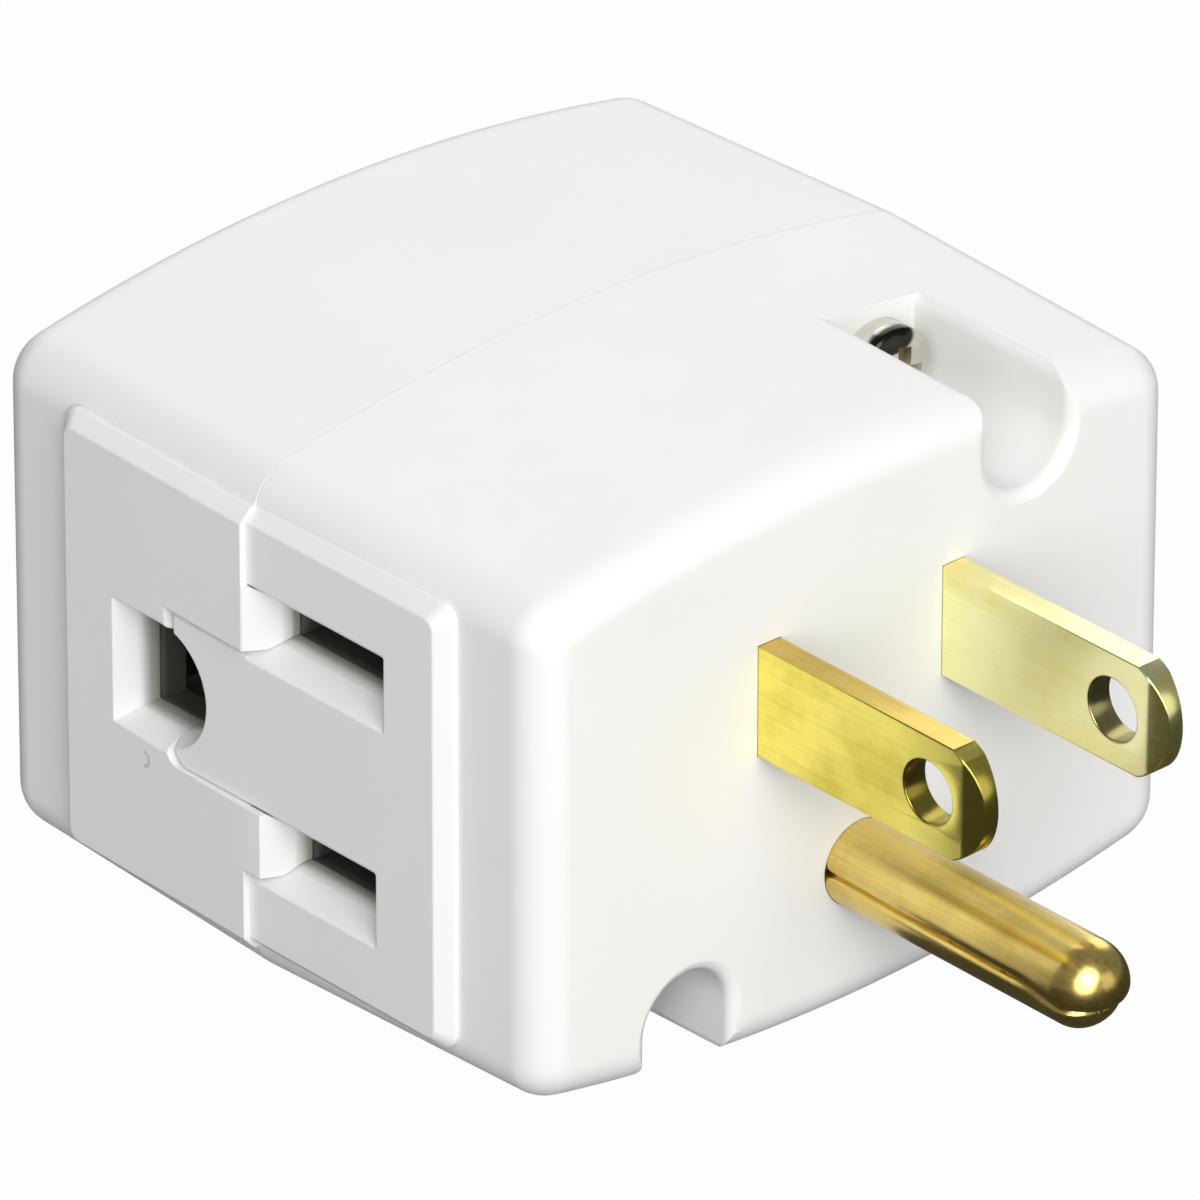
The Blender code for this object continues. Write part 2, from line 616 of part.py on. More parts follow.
def make_rear_housing():
    """Back half: the rear outlet, the left slots, the right ground hole and the screw bosses."""
    item = to_object("rear_housing", [shell_blank(-BODY_DEPTH, 0)], PARTS, WHITE)
    combine(item, "DIFFERENCE", tool("rear_cavity", [shell_cavity(-BODY_DEPTH)]))
    reach = PLATE_LENGTH / 2 + PLATE_BEVEL
    end_plate = plate_body("rear", -reach, reach, END_PLATE_FACE, HALF_DEPTH - WALL / 2)
    plates = [side_plate("right", "rear"), side_plate("left", "rear"), end_plate]
    combine(item, "UNION", tool("rear_plates", plates))
    screw_end = CHANNEL_END_Y - SCREW_LENGTH - WALL / 2
    bosses = [screw_rod(screw, BOSS_RADIUS, screw_end - WALL / 2, SPLIT_Y) for screw in SCREWS]
    combine(item, "UNION", tool("rear_bosses", bosses))
    supports = [bus_rib("neutral", "rear"), bus_rib("hot", "rear"), ground_post("right"), ground_post("rear")]
    combine(item, "UNION", tool("rear_supports", supports))
    sleeves = [slot_sleeve(outlet, pole) for outlet in ("left", "rear") for pole in ("neutral", "hot")]
    sleeves += [ground_sleeve("right"), ground_sleeve("rear")]
    combine(item, "UNION", tool("rear_sleeves", sleeves))
    combine(item, "DIFFERENCE", tool("rear_tongue_recess", [tongue_recess("right")]))
    ends = [slot_end("right", pole) for pole in ("neutral", "hot")]
    combine(item, "UNION", tool("rear_tongue", [tongue("left")] + ends))
    slots = [slot_funnel("left", pole, True) for pole in ("neutral", "hot")]
    slots += [slot_funnel("rear", pole, False) for pole in ("neutral", "hot")]
    combine(item, "DIFFERENCE", tool("rear_slots", slots))
    combine(item, "DIFFERENCE", GROUND_CUTTER)
    holes = [screw_rod(screw, SCREW_DIAMETER / 2 + SLIP, screw_end, SPLIT_Y + WALL) for screw in SCREWS]
    combine(item, "DIFFERENCE", tool("rear_screw_holes", holes))


def blade_outline():
    """Blade in Y and Z: an eared root, straight sides and a rounded tip."""
    half = BLADE_WIDTH / 2
    spread = asin(half / BLADE_TIP_RADIUS)
    tip = arc((BLADE_LENGTH - BLADE_TIP_RADIUS, 0), BLADE_TIP_RADIUS, -spread, spread, ARC_STEPS)
    ear = half + BLADE_EAR
    shoulder = TAB_FRONT_Y
    root = [(shoulder, half), (shoulder, ear), (ROOT_Y, ear), (ROOT_Y, -ear),
            (shoulder, -ear), (shoulder, -half)]
    return tip + root


def taper_tip(bm):
    """Plane both faces of a blade towards its tip."""
    start = BLADE_LENGTH - BLADE_TAPER_LENGTH
    lean = (BLADE_THICKNESS - BLADE_TIP_THICKNESS) / 2 / BLADE_TAPER_LENGTH
    for side in (-1, 1):
        geometry = bm.verts[:] + bm.edges[:] + bm.faces[:]
        point = (side * BLADE_THICKNESS / 2, start, 0)
        normal = Vector((side, lean, 0)).normalized()
        bmesh.ops.bisect_plane(bm, geom=geometry, dist=1e-7, plane_co=point, plane_no=normal, clear_outer=True)
        bmesh.ops.holes_fill(bm, edges=bm.edges[:])
    bmesh.ops.recalc_face_normals(bm, faces=bm.faces)


def make_blade(name, side):
    """Solid brass blade with a hole near its tip and a riveted root."""
    bm = sweep(blade_outline(), "X", -BLADE_THICKNESS / 2, BLADE_THICKNESS / 2)
    taper_tip(bm)
    item = to_object(name, [bm], PARTS, BRASS)
    item.location.x = side * BLADE_SPACING / 2
    x = item.location.x
    reach = BLADE_THICKNESS
    hole_y = BLADE_LENGTH - BLADE_HOLE_SETBACK
    tip_hole = rod((hole_y, 0), BLADE_HOLE_DIAMETER / 2, x - reach, x + reach, "X", 2 * TURN_STEPS)
    rivet_hole = rod((TAB_MID_Y, 0), RIVET_HOLE_RADIUS, x - reach, x + reach, "X")
    combine(item, "DIFFERENCE", tool(name + "_holes", [tip_hole, rivet_hole]))


def turned(name, profile, place, material, steps=TURN_STEPS):
    """A turned solid: a profile run top to bottom at +X, screwed round Z, then placed."""
    mesh = bpy.data.meshes.new(name)
    mesh.from_pydata([(r, 0, z) for r, z in profile], [(i, i + 1) for i in range(len(profile) - 1)], [])
    item = bpy.data.objects.new(name, mesh)
    PARTS.objects.link(item)
    mesh.materials.append(material)
    item.matrix_world = place
    spin = item.modifiers.new("turn", "SCREW")
    spin.axis = "Z"
    spin.steps = steps
    spin.render_steps = steps
    spin.use_merge_vertices = True
    spin.merge_threshold = 1e-6
    spin.use_smooth_shade = True
    return item


def make_ground_pin():
    """Rolled brass pin: split round nose, hollow middle and a side seam, staked to the ground bus."""
    nose = arc((0, PIN_LENGTH - PIN_RADIUS), PIN_RADIUS, pi / 2, 0, 5)
    tab_back = TAB_REAR_Y
    tab_front = tab_back + BUS_THICKNESS
    collar = PIN_COLLAR_LENGTH
    profile = [(0, PIN_LENGTH)] + nose[1:]
    profile += [(PIN_RADIUS, tab_front + collar), (PIN_COLLAR_RADIUS, tab_front + collar),
                (PIN_COLLAR_RADIUS, tab_front), (PIN_RADIUS, tab_front), (PIN_RADIUS, tab_back),
                (PIN_COLLAR_RADIUS, tab_back), (PIN_COLLAR_RADIUS, tab_back - collar), (0, tab_back - collar)]
    place = Matrix.Translation((0, 0, -PIN_DROP)) @ Matrix.Rotation(-pi / 2, 4, "X")
    item = turned("ground_pin", profile, place, BRASS, 2 * ARC_STEPS)
    end = tab_back - collar - WALL
    bore = rod((0, -PIN_DROP), PIN_RADIUS - PIN_WALL, end, PIN_LENGTH - PIN_RADIUS)
    combine(item, "DIFFERENCE", tool("pin_bore", [bore]))
    half = PIN_SEAM_WIDTH / 2
    seam = box((0, end, -half), (2 * PIN_RADIUS, PIN_LENGTH - PIN_SEAM_END, half))
    turn = Matrix.Translation((0, 0, -PIN_DROP)) @ Matrix.Rotation(-PIN_SEAM_ANGLE, 4, "Y")
    slit_top = -PIN_DROP - PIN_SLIT_DROP
    slit_low = (-PIN_DIAMETER, PIN_LENGTH - PIN_SLIT_DEPTH, slit_top - PIN_SLIT_WIDTH)
    slit = box(slit_low, (PIN_DIAMETER, PIN_LENGTH + PIN_SLIT_DEPTH, slit_top))
    combine(item, "DIFFERENCE", tool("pin_seam", [moved(seam, turn), slit]))


def make_screw(screw):
    """Pan-head screw with a cross recess, its head towards the plug face."""
    x, rise = SCREWS[screw]
    seat = CHANNEL_END_Y
    radius = SCREW_DIAMETER / 2
    head = SCREW_HEAD_DIAMETER / 2
    top = seat + SCREW_HEAD_HEIGHT
    dome = [(head * sin(a), top - 0.35 * SCREW_HEAD_HEIGHT * (1 - cos(a)))
            for a in (0, radians(25), radians(50), radians(75), radians(90))]
    profile = dome + [(head, seat), (radius, seat), (radius, seat - SCREW_LENGTH + SCREW_DIAMETER),
                      (radius / 3, seat - SCREW_LENGTH), (0, seat - SCREW_LENGTH)]
    place = Matrix.Translation((x, 0, BODY_MID_Z + rise)) @ Matrix.Rotation(-pi / 2, 4, "X")
    item = turned(screw + "_screw", profile, place, STEEL)
    floor = top - RECESS_DEPTH
    bars = []
    for long_x, long_z in ((RECESS_LENGTH, RECESS_WIDTH), (RECESS_WIDTH, RECESS_LENGTH)):
        centre = Vector((x, 0, BODY_MID_Z + rise))
        low = centre + Vector((-long_x / 2, floor, -long_z / 2))
        high = centre + Vector((long_x / 2, top + WALL, long_z / 2))
        bars.append(box(low, high))
    for number, bar in enumerate(bars):
        combine(item, "DIFFERENCE", tool(f"{screw}_recess_{number}", [bar]))


def jaw_rivet_spot(outlet, pole):
    """Where one contact jaw is riveted to its bus plate."""
    rise = BUS_RISE if pole == "neutral" else -BUS_RISE
    return outlet_frame(outlet) @ Vector((JAW_RIVET_NEAR, SLOT_OFFSET, rise))


def bus_bounds(pole):
    """Extent of a blade bus plate: every jaw rivet plus a margin."""
    spots = [jaw_rivet_spot(outlet, pole) for outlet in OUTLETS]
    low = (min(s.x for s in spots) - BUS_MARGIN, min(s.y for s in spots) - BUS_MARGIN)
    high = (max(s.x for s in spots) + BUS_MARGIN, max(s.y for s in spots) + BUS_MARGIN)
    return low, high


def make_blade_bus(pole):
    """Stamped bus plate under the jaws, with a bent tab that lies against its blade."""
    way = 1 if pole == "neutral" else -1
    face = BODY_MID_Z + way * BUS_RISE
    outer = face + way * BUS_THICKNESS
    (left, rear), (right, front) = bus_bounds(pole)
    side = -way
    tab_face = side * (BLADE_SPACING / 2 - BLADE_THICKNESS / 2)
    tab_inner = tab_face - side * BUS_THICKNESS
    arm_edge = tab_face + side * ARM_REACH
    near_edge, far_edge = (left, right) if pole == "neutral" else (right, left)
    outline = [(far_edge, rear), (near_edge, rear), (near_edge, front), (arm_edge, front),
               (arm_edge, TAB_FRONT_Y), (tab_inner, TAB_FRONT_Y), (tab_inner, front), (far_edge, front)]
    item = to_object(pole + "_bus", [sweep(outline, "Z", min(face, outer), max(face, outer))], PARTS, BRASS)
    tab_end = -way * BLADE_WIDTH / 2
    low = (min(tab_face, tab_inner), TAB_REAR_Y, min(tab_end, outer))
    high = (max(tab_face, tab_inner), TAB_FRONT_Y, max(tab_end, outer))
    combine(item, "UNION", tool(pole + "_tab", [box(low, high)]))
    holes = [rod(jaw_rivet_spot(outlet, pole).xy, RIVET_HOLE_RADIUS, face - WALL, face + WALL, "Z")
             for outlet in OUTLETS]
    across = sorted((tab_face + side * BUS_THICKNESS, tab_inner - side * BUS_THICKNESS))
    holes.append(rod((TAB_MID_Y, 0), RIVET_HOLE_RADIUS, across[0], across[1], "X"))
    combine(item, "DIFFERENCE", tool(pole + "_bus_holes", holes))


def rivet(name, place, grip):
    """Headed rivet along Z: its shank runs through the grip, with a head on each side."""
    head = RIVET_HEAD_HEIGHT
    profile = [(0, head), (RIVET_HEAD_RADIUS, head), (RIVET_HEAD_RADIUS, 0), (RIVET_RADIUS, 0),
               (RIVET_RADIUS, -grip), (RIVET_HEAD_RADIUS, -grip), (RIVET_HEAD_RADIUS, -grip - head),
               (0, -grip - head)]
    turned(name, profile, place, BRASS, 12)


def strip(name, path, width, matrix):
    """Bent spring strip: a path drawn in X and Z, spread along Y and thickened both ways."""
    bm = bmesh.new()
    rows = [[bm.verts.new((x, y, z)) for x, z in path] for y in (-width / 2, width / 2)]
    for i in range(len(path) - 1):
        bm.faces.new((rows[0][i], rows[0][i + 1], rows[1][i + 1], rows[1][i]))
    item = to_object(name, [bm], PARTS, BRASS)
    item.matrix_world = matrix
    thick = item.modifiers.new("thickness", "SOLIDIFY")
    thick.thickness = SPRING_THICKNESS
    thick.offset = 0
    thick.use_even_offset = True
    return item


def make_jaw(outlet, pole):
    """Folded double-leaf jaw that grips a blade, riveted under its bus plate."""
    face = SLOT_FACE[outlet]
    half = SPRING_THICKNESS / 2
    seat = BUS_RISE - half
    gap = JAW_GAP / 2 + half
    low_leaf = SLOT_RISE - gap
    bend = (seat - low_leaf) / 2
    mouth = face - JAW_START
    contact = face - JAW_CONTACT
    turn = JAW_NEAR + bend + half
    rivet_end = JAW_RIVET_NEAR + 2 * BUS_MARGIN
    path = [(mouth, SLOT_RISE + gap + JAW_FLARE), (contact, SLOT_RISE + gap), (rivet_end, seat)]
    path += arc((turn, seat - bend), bend, pi / 2, 3 * pi / 2, 6)
    path += [(contact, low_leaf), (mouth, low_leaf - JAW_FLARE)]
    matrix = outlet_frame(outlet) @ Matrix.Translation((0, SLOT_OFFSET, 0))
    if pole == "hot":
        path = [(x, -z) for x, z in path]
    item = strip(f"{pole}_jaw_{outlet}", path, JAW_WIDTH, matrix)
    spot = jaw_rivet_spot(outlet, pole)
    reach = SLOT_MOUTH_HEIGHT / 4
    hole = rod(spot.xy, RIVET_HOLE_RADIUS, spot.z - reach, spot.z + reach, "Z")
    combine(item, "DIFFERENCE", tool(item.name + "_hole", [hole]))
    way = 1 if pole == "neutral" else -1
    top = spot.z + way * BUS_THICKNESS
    place = Matrix.Translation((spot.x, spot.y, top))
    if pole == "hot":
        place = place @ Matrix.Rotation(pi, 4, "X")
    rivet(f"{pole}_jaw_rivet_{outlet}", place, BUS_THICKNESS + SPRING_THICKNESS)


def make_blade_rivet(pole):
    """Rivet that joins a blade to the tab of its bus."""
    side = -1 if pole == "neutral" else 1
    tab_inner = side * (BLADE_SPACING / 2 - BLADE_THICKNESS / 2 - BUS_THICKNESS)
    turn = Matrix.Rotation(-side * pi / 2, 4, "Y")
    place = Matrix.Translation((tab_inner, TAB_MID_Y, 0)) @ turn
    rivet(pole + "_blade_rivet", place, BUS_THICKNESS + BLADE_THICKNESS)


def make_ground_bus():
    """Ground plate with an arm under each clip and a tab bent down to the pin."""
    top = BODY_MID_Z - GROUND_BUS_DROP
    low = top - BUS_THICKNESS
    half = CLIP_INNER / 2 + SPRING_THICKNESS
    right, rear, left = [clip_place(outlet, POST_NEAR + POST_RADIUS) for outlet in OUTLETS]
    tab_back = TAB_REAR_Y
    outline = [(right.x, right.y - half), (right.x, right.y + half), (half, right.y + half),
               (half, tab_back + BUS_THICKNESS), (-half, tab_back + BUS_THICKNESS), (-half, left.y + half),
               (left.x, left.y + half), (left.x, left.y - half), (-half, left.y - half),
               (-half, right.y + half), (rear.x - half, right.y + half), (rear.x - half, rear.y),
               (rear.x + half, rear.y), (rear.x + half, right.y - half)]
    item = to_object("ground_bus", [sweep(outline, "Z", low, top)], PARTS, BRASS)
    tab_half = PIN_COLLAR_RADIUS + SPRING_THICKNESS
    tab = box((-tab_half, tab_back, -PIN_DROP - tab_half), (tab_half, tab_back + BUS_THICKNESS, top))
    combine(item, "UNION", tool("ground_tab", [tab]))
    eye = rod((0, -PIN_DROP), PIN_RADIUS + SLIP, tab_back - WALL, tab_back + WALL)
    holes = [rod(clip_place(outlet, CLIP_RIVET_NEAR).xy, RIVET_HOLE_RADIUS, low - WALL, top + WALL, "Z")
             for outlet in OUTLETS]
    combine(item, "DIFFERENCE", tool("ground_bus_holes", [eye] + holes))


def make_ground_clip(outlet):
    """U-shaped spring clip that grips a ground pin, riveted on the ground bus."""
    start, end = CLIP_NEAR, HOLE_FACE[outlet] - JAW_START
    half = (CLIP_INNER + SPRING_THICKNESS) / 2
    base = -GROUND_BUS_DROP + SPRING_THICKNESS / 2
    path = [(-half - CLIP_FLARE, CLIP_HEIGHT + CLIP_FLARE), (-half, CLIP_HEIGHT), (-half, base),
            (half, base), (half, CLIP_HEIGHT), (half + CLIP_FLARE, CLIP_HEIGHT + CLIP_FLARE)]
    across = Matrix.Translation(((start + end) / 2, -GROUND_OFFSET, 0)) @ Matrix.Rotation(pi / 2, 4, "Z")
    item = strip(f"ground_clip_{outlet}", path, end - start, outlet_frame(outlet) @ across)
    spot = clip_place(outlet, CLIP_RIVET_NEAR)
    seat = BODY_MID_Z - GROUND_BUS_DROP
    hole = rod(spot.xy, RIVET_HOLE_RADIUS, seat - WALL / 2, seat + WALL / 2, "Z")
    combine(item, "DIFFERENCE", tool(item.name + "_hole", [hole]))
    place = Matrix.Translation((spot.x, spot.y, seat + SPRING_THICKNESS))
    rivet(f"ground_clip_rivet_{outlet}", place, BUS_THICKNESS + SPRING_THICKNESS)


clear_scene()
PARTS = make_collection("cube_outlet_adapter")
CUTTERS = make_collection("cutters")
WHITE = make_material("white_plastic", (0.86, 0.86, 0.84), 0.35)
BRASS = make_material("brass", (0.83, 0.62, 0.22), 0.25, 1.0)
STEEL = make_material("plated_steel", (0.72, 0.71, 0.68), 0.2, 1.0)
GROUND_CUTTER = tool("ground_funnels", [ground_funnel(outlet) for outlet in OUTLETS])

make_rear_housing()
make_plug_housing()
make_blade("hot_blade", 1)
make_blade("neutral_blade", -1)
make_ground_pin()
for pole_name in ("hot", "neutral"):
    make_blade_bus(pole_name)
    make_blade_rivet(pole_name)
    for outlet_name in OUTLETS:
        make_jaw(outlet_name, pole_name)
make_ground_bus()
for outlet_name in OUTLETS:
    make_ground_clip(outlet_name)
for screw_name in SCREWS:
    make_screw(screw_name)
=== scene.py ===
"""Looks of the cube outlet adapter: refined housings and metal, materials, floor, light and camera."""
import bpy
import bmesh
from math import asin, cos, exp, pi, radians, sin, sqrt, tan
from mathutils import Matrix, Vector


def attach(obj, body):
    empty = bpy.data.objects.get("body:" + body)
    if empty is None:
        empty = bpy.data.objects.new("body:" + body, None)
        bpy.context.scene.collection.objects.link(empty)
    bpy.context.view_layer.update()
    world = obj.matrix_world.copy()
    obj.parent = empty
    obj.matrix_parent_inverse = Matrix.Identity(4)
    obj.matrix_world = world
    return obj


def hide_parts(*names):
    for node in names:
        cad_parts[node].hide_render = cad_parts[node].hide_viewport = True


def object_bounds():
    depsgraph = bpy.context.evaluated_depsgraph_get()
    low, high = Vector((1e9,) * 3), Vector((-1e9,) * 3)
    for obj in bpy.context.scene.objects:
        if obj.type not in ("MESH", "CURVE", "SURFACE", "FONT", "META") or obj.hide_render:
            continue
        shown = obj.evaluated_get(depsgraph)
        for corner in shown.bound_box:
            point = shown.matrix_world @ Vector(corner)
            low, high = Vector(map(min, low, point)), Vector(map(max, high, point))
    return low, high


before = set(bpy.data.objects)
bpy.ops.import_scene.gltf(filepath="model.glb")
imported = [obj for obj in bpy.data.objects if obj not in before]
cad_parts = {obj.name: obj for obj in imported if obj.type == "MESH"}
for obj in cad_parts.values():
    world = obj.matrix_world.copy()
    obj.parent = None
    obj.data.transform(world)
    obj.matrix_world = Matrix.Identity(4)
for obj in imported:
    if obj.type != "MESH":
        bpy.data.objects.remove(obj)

CAD_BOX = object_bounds()
MM = 0.001

# Sizes in metres, as in the part's source but for the screws' seat and recess and the blades' holes
BODY_WIDTH = 45.0 * MM
BODY_DEPTH = 41.7 * MM
BODY_HEIGHT = 33.6 * MM
CROWN_RADIUS = 101.0 * MM
CORNER_RADIUS = 2.7 * MM
RIM_RADIUS = 0.85 * CORNER_RADIUS
DRAFT = radians(1.5)
WALL = 2.0 * MM
SHELL_STEP = 0.12 * MM
BODY_MID_Z = -4.4 * MM
PLATE_LENGTH = 28.2 * MM
PLATE_HEIGHT = 24.0 * MM
PLATE_PROUD = 0.95 * MM
PLATE_SETBACK = 0.40 * MM
PLATE_BEVEL = 0.80 * MM
PLATE_CORNER = 0.8 * MM
SLOT_SPACING = 12.7 * MM
SLOT_OFFSET = 5.15 * MM
FUNNEL_DEPTH = 1.8 * MM
FUNNEL_INSET = 1.15 * MM
SLOT_MOUTH_HEIGHT = 4.3 * MM
THROAT_DEPTH = 0.5 * MM
THROAT_RELIEF = 0.45 * MM
MOUTH_LENGTH = {"neutral": 10.5 * MM, "hot": 9.15 * MM}
SLOT_ENDS = {"neutral": (0.05 * MM, 1.50 * MM), "hot": (1.28 * MM, 2.31 * MM)}
GROUND_MOUTH_HALF = 3.65 * MM
GROUND_DEPTH = 1.4 * MM
GROUND_INSET = 0.7 * MM
GROUND_THROAT_DEPTH = 1.3 * MM
SLEEVE_DEPTH = 4.85 * MM
SLEEVE_WALL = 1.2 * MM
TONGUE_CHAMFER = 0.50 * MM
TONGUE_END = 6.10 * MM
TONGUE_END_SLOPE = 0.40 * MM
TONGUE_CORNER = 1.0 * MM
MATE_GAP = 0.06 * MM
BLADE_SPACING = 12.7 * MM
BLADE_WIDTH = 6.35 * MM
BLADE_THICKNESS = 1.52 * MM
BLADE_LENGTH = 16.4 * MM
BLADE_TIP_RADIUS = 3.45 * MM
BLADE_TIP_THICKNESS = 0.9 * MM
BLADE_TAPER_LENGTH = 1.4 * MM
BLADE_HOLE_DIAMETER = 3.5 * MM
BLADE_HOLE_REACH = 12.5 * MM
PIN_RADIUS = 2.4 * MM
PIN_LENGTH = 18.9 * MM
PIN_DROP = 11.9 * MM
PAD_DEPTH = 6.0 * MM
SLIP = 0.02 * MM
SCREW_X = 11.6 * MM
SCREW_RISE = 12.65 * MM
CHANNEL_RADIUS = 2.9 * MM
CHANNEL_DEPTH = 11.8 * MM
CASING_RADIUS = 3.8 * MM
SCREW_RADIUS = 1.5 * MM
SCREW_HEAD_RADIUS = 2.4 * MM
SCREW_HEAD_HEIGHT = 2.3 * MM
SCREW_HEAD_DOME = 0.75 * MM
SCREW_LENGTH = 20.0 * MM
SCREW_HOLE_RADIUS = 1.6 * MM
SCREW_HOLE_END = -33.2 * MM
SCREW_CLEARANCE_RADIUS = 1.7 * MM
HEAD_RIM = 0.30 * MM
THREAD_DEPTH = 0.30 * MM
THREAD_PITCH = 1.1 * MM
THREAD_LENGTH = 18.0 * MM
RECESS_LENGTH = 3.2 * MM
RECESS_WIDTH = 1.0 * MM
RECESS_DEPTH = 0.9 * MM
RECESS_SPINS = (radians(12), radians(102))
BOSS_RADIUS = 2.8 * MM
LIP = 0.12 * MM
PARTING_SOFT = 0.035 * MM
SLOT_CORNER = 0.15 * MM
TONGUE_SOFT = 0.05 * MM
BLADE_EDGE = 0.10 * MM
BLADE_SHOULDER_GAP = 0.35 * MM
BLADE_ROOT_LENGTH = 4.0 * MM
BLADE_EAR = 0.3 * MM
TAPER_BLEND = 0.12 * MM
PIN_ROOT = 3.3 * MM
PIN_CLEFT = 0.42 * MM
# Depth and width of the two parts of the pin's seam: the narrow groove and its rolled shoulders
GROOVES = ((0.40 * MM, 0.12 * MM), (0.14 * MM, 0.40 * MM))
EDGE_ROUNDING = 0.10 * MM
# Where painted shade darkens the plastic behind the outlets' openings
DARK_HALF_HEIGHT = 9.2 * MM
DARK_REACH = 4.0 * MM
# Small hooked nick under the ground hole of the right outlet
NICK_Y = -28.8 * MM
NICK_Z = -9.2 * MM
NICK_RADIUS = 0.42 * MM
NICK_WIDTH = 0.14 * MM
# Painted shade patch on the screw heads: middle and half sizes, inward and upward
HEAD_SHADE_ASIDE = -0.55 * MM
HEAD_SHADE_ABOVE = 2.05 * MM
HEAD_SHADE_HALF_WIDTH = 1.9 * MM
HEAD_SHADE_HALF_HEIGHT = 0.85 * MM

SPLIT_Y = -BODY_DEPTH / 2
CENTRE = Vector((0, SPLIT_Y, BODY_MID_Z))
PLUG_FACE = BODY_WIDTH / 2 + PLATE_PROUD - PLATE_SETBACK
REAR_FACE = BODY_WIDTH / 2 + PLATE_PROUD
END_FACE = BODY_DEPTH / 2 + PLATE_PROUD
GROUND_OFFSET = PIN_DROP - SLOT_OFFSET
SLOT_RISE = SLOT_SPACING / 2
TONGUE_HALF = SLOT_RISE - SLOT_MOUTH_HEIGHT / 2
TONGUE_SLOPE_DEPTH = TONGUE_CHAMFER * FUNNEL_DEPTH / FUNNEL_INSET
END_TOP = {"right": REAR_FACE, "left": PLUG_FACE}
TURNS = {"right": 0, "rear": -90, "left": 180}
POLES = ("neutral", "hot")
SLOT_FACE = {"right": PLUG_FACE, "rear": END_FACE, "left": REAR_FACE - SLOT_OFFSET * tan(DRAFT)}
HOLE_FACE = {"right": REAR_FACE - GROUND_OFFSET * tan(DRAFT), "rear": END_FACE, "left": PLUG_FACE}
SCREWS = {"upper": (-SCREW_X, SCREW_RISE), "lower": (SCREW_X, -SCREW_RISE)}


# Mesh helpers

def loft(rings):
    """One closed bmesh through rings with the same number of points."""
    bm = bmesh.new()
    loops = [[bm.verts.new(point) for point in ring] for ring in rings]
    count = len(loops[0])
    for lower, upper in zip(loops, loops[1:]):
        for i in range(count):
            j = (i + 1) % count
            bm.faces.new((lower[i], lower[j], upper[j], upper[i]))
    bm.faces.new(loops[0])
    bm.faces.new(loops[-1])
    bmesh.ops.recalc_face_normals(bm, faces=bm.faces)
    return bm


def box(low, high):
    """A cuboid between two corners."""
    bm = bmesh.new()
    low, high = Vector(low), Vector(high)
    place = Matrix.Translation((low + high) / 2) @ Matrix.Diagonal((*(high - low), 1.0))
    bmesh.ops.create_cube(bm, size=1.0, matrix=place)
    return bm


def rod(centre, radius, low, high, steps=48):
    """A cylinder along Y."""
    turns = [2 * pi * i / steps for i in range(steps)]
    rings = [[(centre[0] + radius * cos(turn), y, centre[1] + radius * sin(turn)) for turn in turns]
             for y in (low, high)]
    return loft(rings)


def moved(bm, matrix):
    """The same bmesh, placed by a matrix."""
    bmesh.ops.transform(bm, matrix=matrix, verts=bm.verts)
    return bm


def outlet_frame(outlet):
    """Axes of one outlet: X outward, Y to its viewer's right, Z up."""
    return Matrix.Translation(CENTRE) @ Matrix.Rotation(radians(TURNS[outlet]), 4, "Z")


def mesh_object(name, bodies):
    """An object made of one or several separate bmesh bodies."""
    whole = bmesh.new()
    for bm in bodies:
        part = bpy.data.meshes.new("body")
        bm.to_mesh(part)
        bm.free()
        whole.from_mesh(part)
        bpy.data.meshes.remove(part)
    mesh = bpy.data.meshes.new(name)
    whole.to_mesh(mesh)
    whole.free()
    item = bpy.data.objects.new(name, mesh)
    bpy.context.scene.collection.objects.link(item)
    return item


def combine(target, operation, bodies):
    """Apply one exact Boolean with the given bodies."""
    other = mesh_object("cutter", bodies)
    step = target.modifiers.new("step", "BOOLEAN")
    step.operation = operation
    step.solver = "EXACT"
    step.object = other
    bpy.context.view_layer.update()
    graph = bpy.context.evaluated_depsgraph_get()
    mesh = bpy.data.meshes.new_from_object(target.evaluated_get(graph))
    target.modifiers.clear()
    old = target.data
    target.data = mesh
    bpy.data.meshes.remove(old)
    data = other.data
    bpy.data.objects.remove(other)
    bpy.data.meshes.remove(data)


def arc(centre, radius, start, end, steps):
    """Points along an arc, both ends included."""
    return [(centre[0] + radius * cos(start + (end - start) * i / steps),
             centre[1] + radius * sin(start + (end - start) * i / steps)) for i in range(steps + 1)]


def smooth(value):
    """A soft step from 0 to 1."""
    value = min(max(value, 0.0), 1.0)
    return value * value * (3 - 2 * value)


def rectangle(left, right, bottom, top):
    """Corners of an upright rectangle."""
    return [(left, bottom), (right, bottom), (right, top), (left, top)]


def round_rectangle(left, right, bottom, top, radii, steps=5):
    """A rectangle with its own radius at each corner, from bottom left, anticlockwise."""
    corners = ((left, bottom, 1, 1, pi), (right, bottom, -1, 1, -pi / 2), (right, top, -1, -1, 0),
               (left, top, 1, -1, pi / 2))
    points = []
    for (x, y, sx, sy, start), radius in zip(corners, radii):
        radius = max(radius, 1e-6)
        points += arc((x + sx * radius, y + sy * radius), radius, start, start + pi / 2, steps)
    return points


def finish(item, material, angle=32):
    """Shading, material, body and slot of one finished piece."""
    item.data.shade_smooth()
    item.data.set_sharp_from_angle(angle=radians(angle))
    item.data.materials.clear()
    item.data.materials.append(material)
    evening = item.modifiers.new("even_normals", "WEIGHTED_NORMAL")
    evening.weight = 100
    evening.keep_sharp = True
    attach(item, "root")
    return item


# The two housings

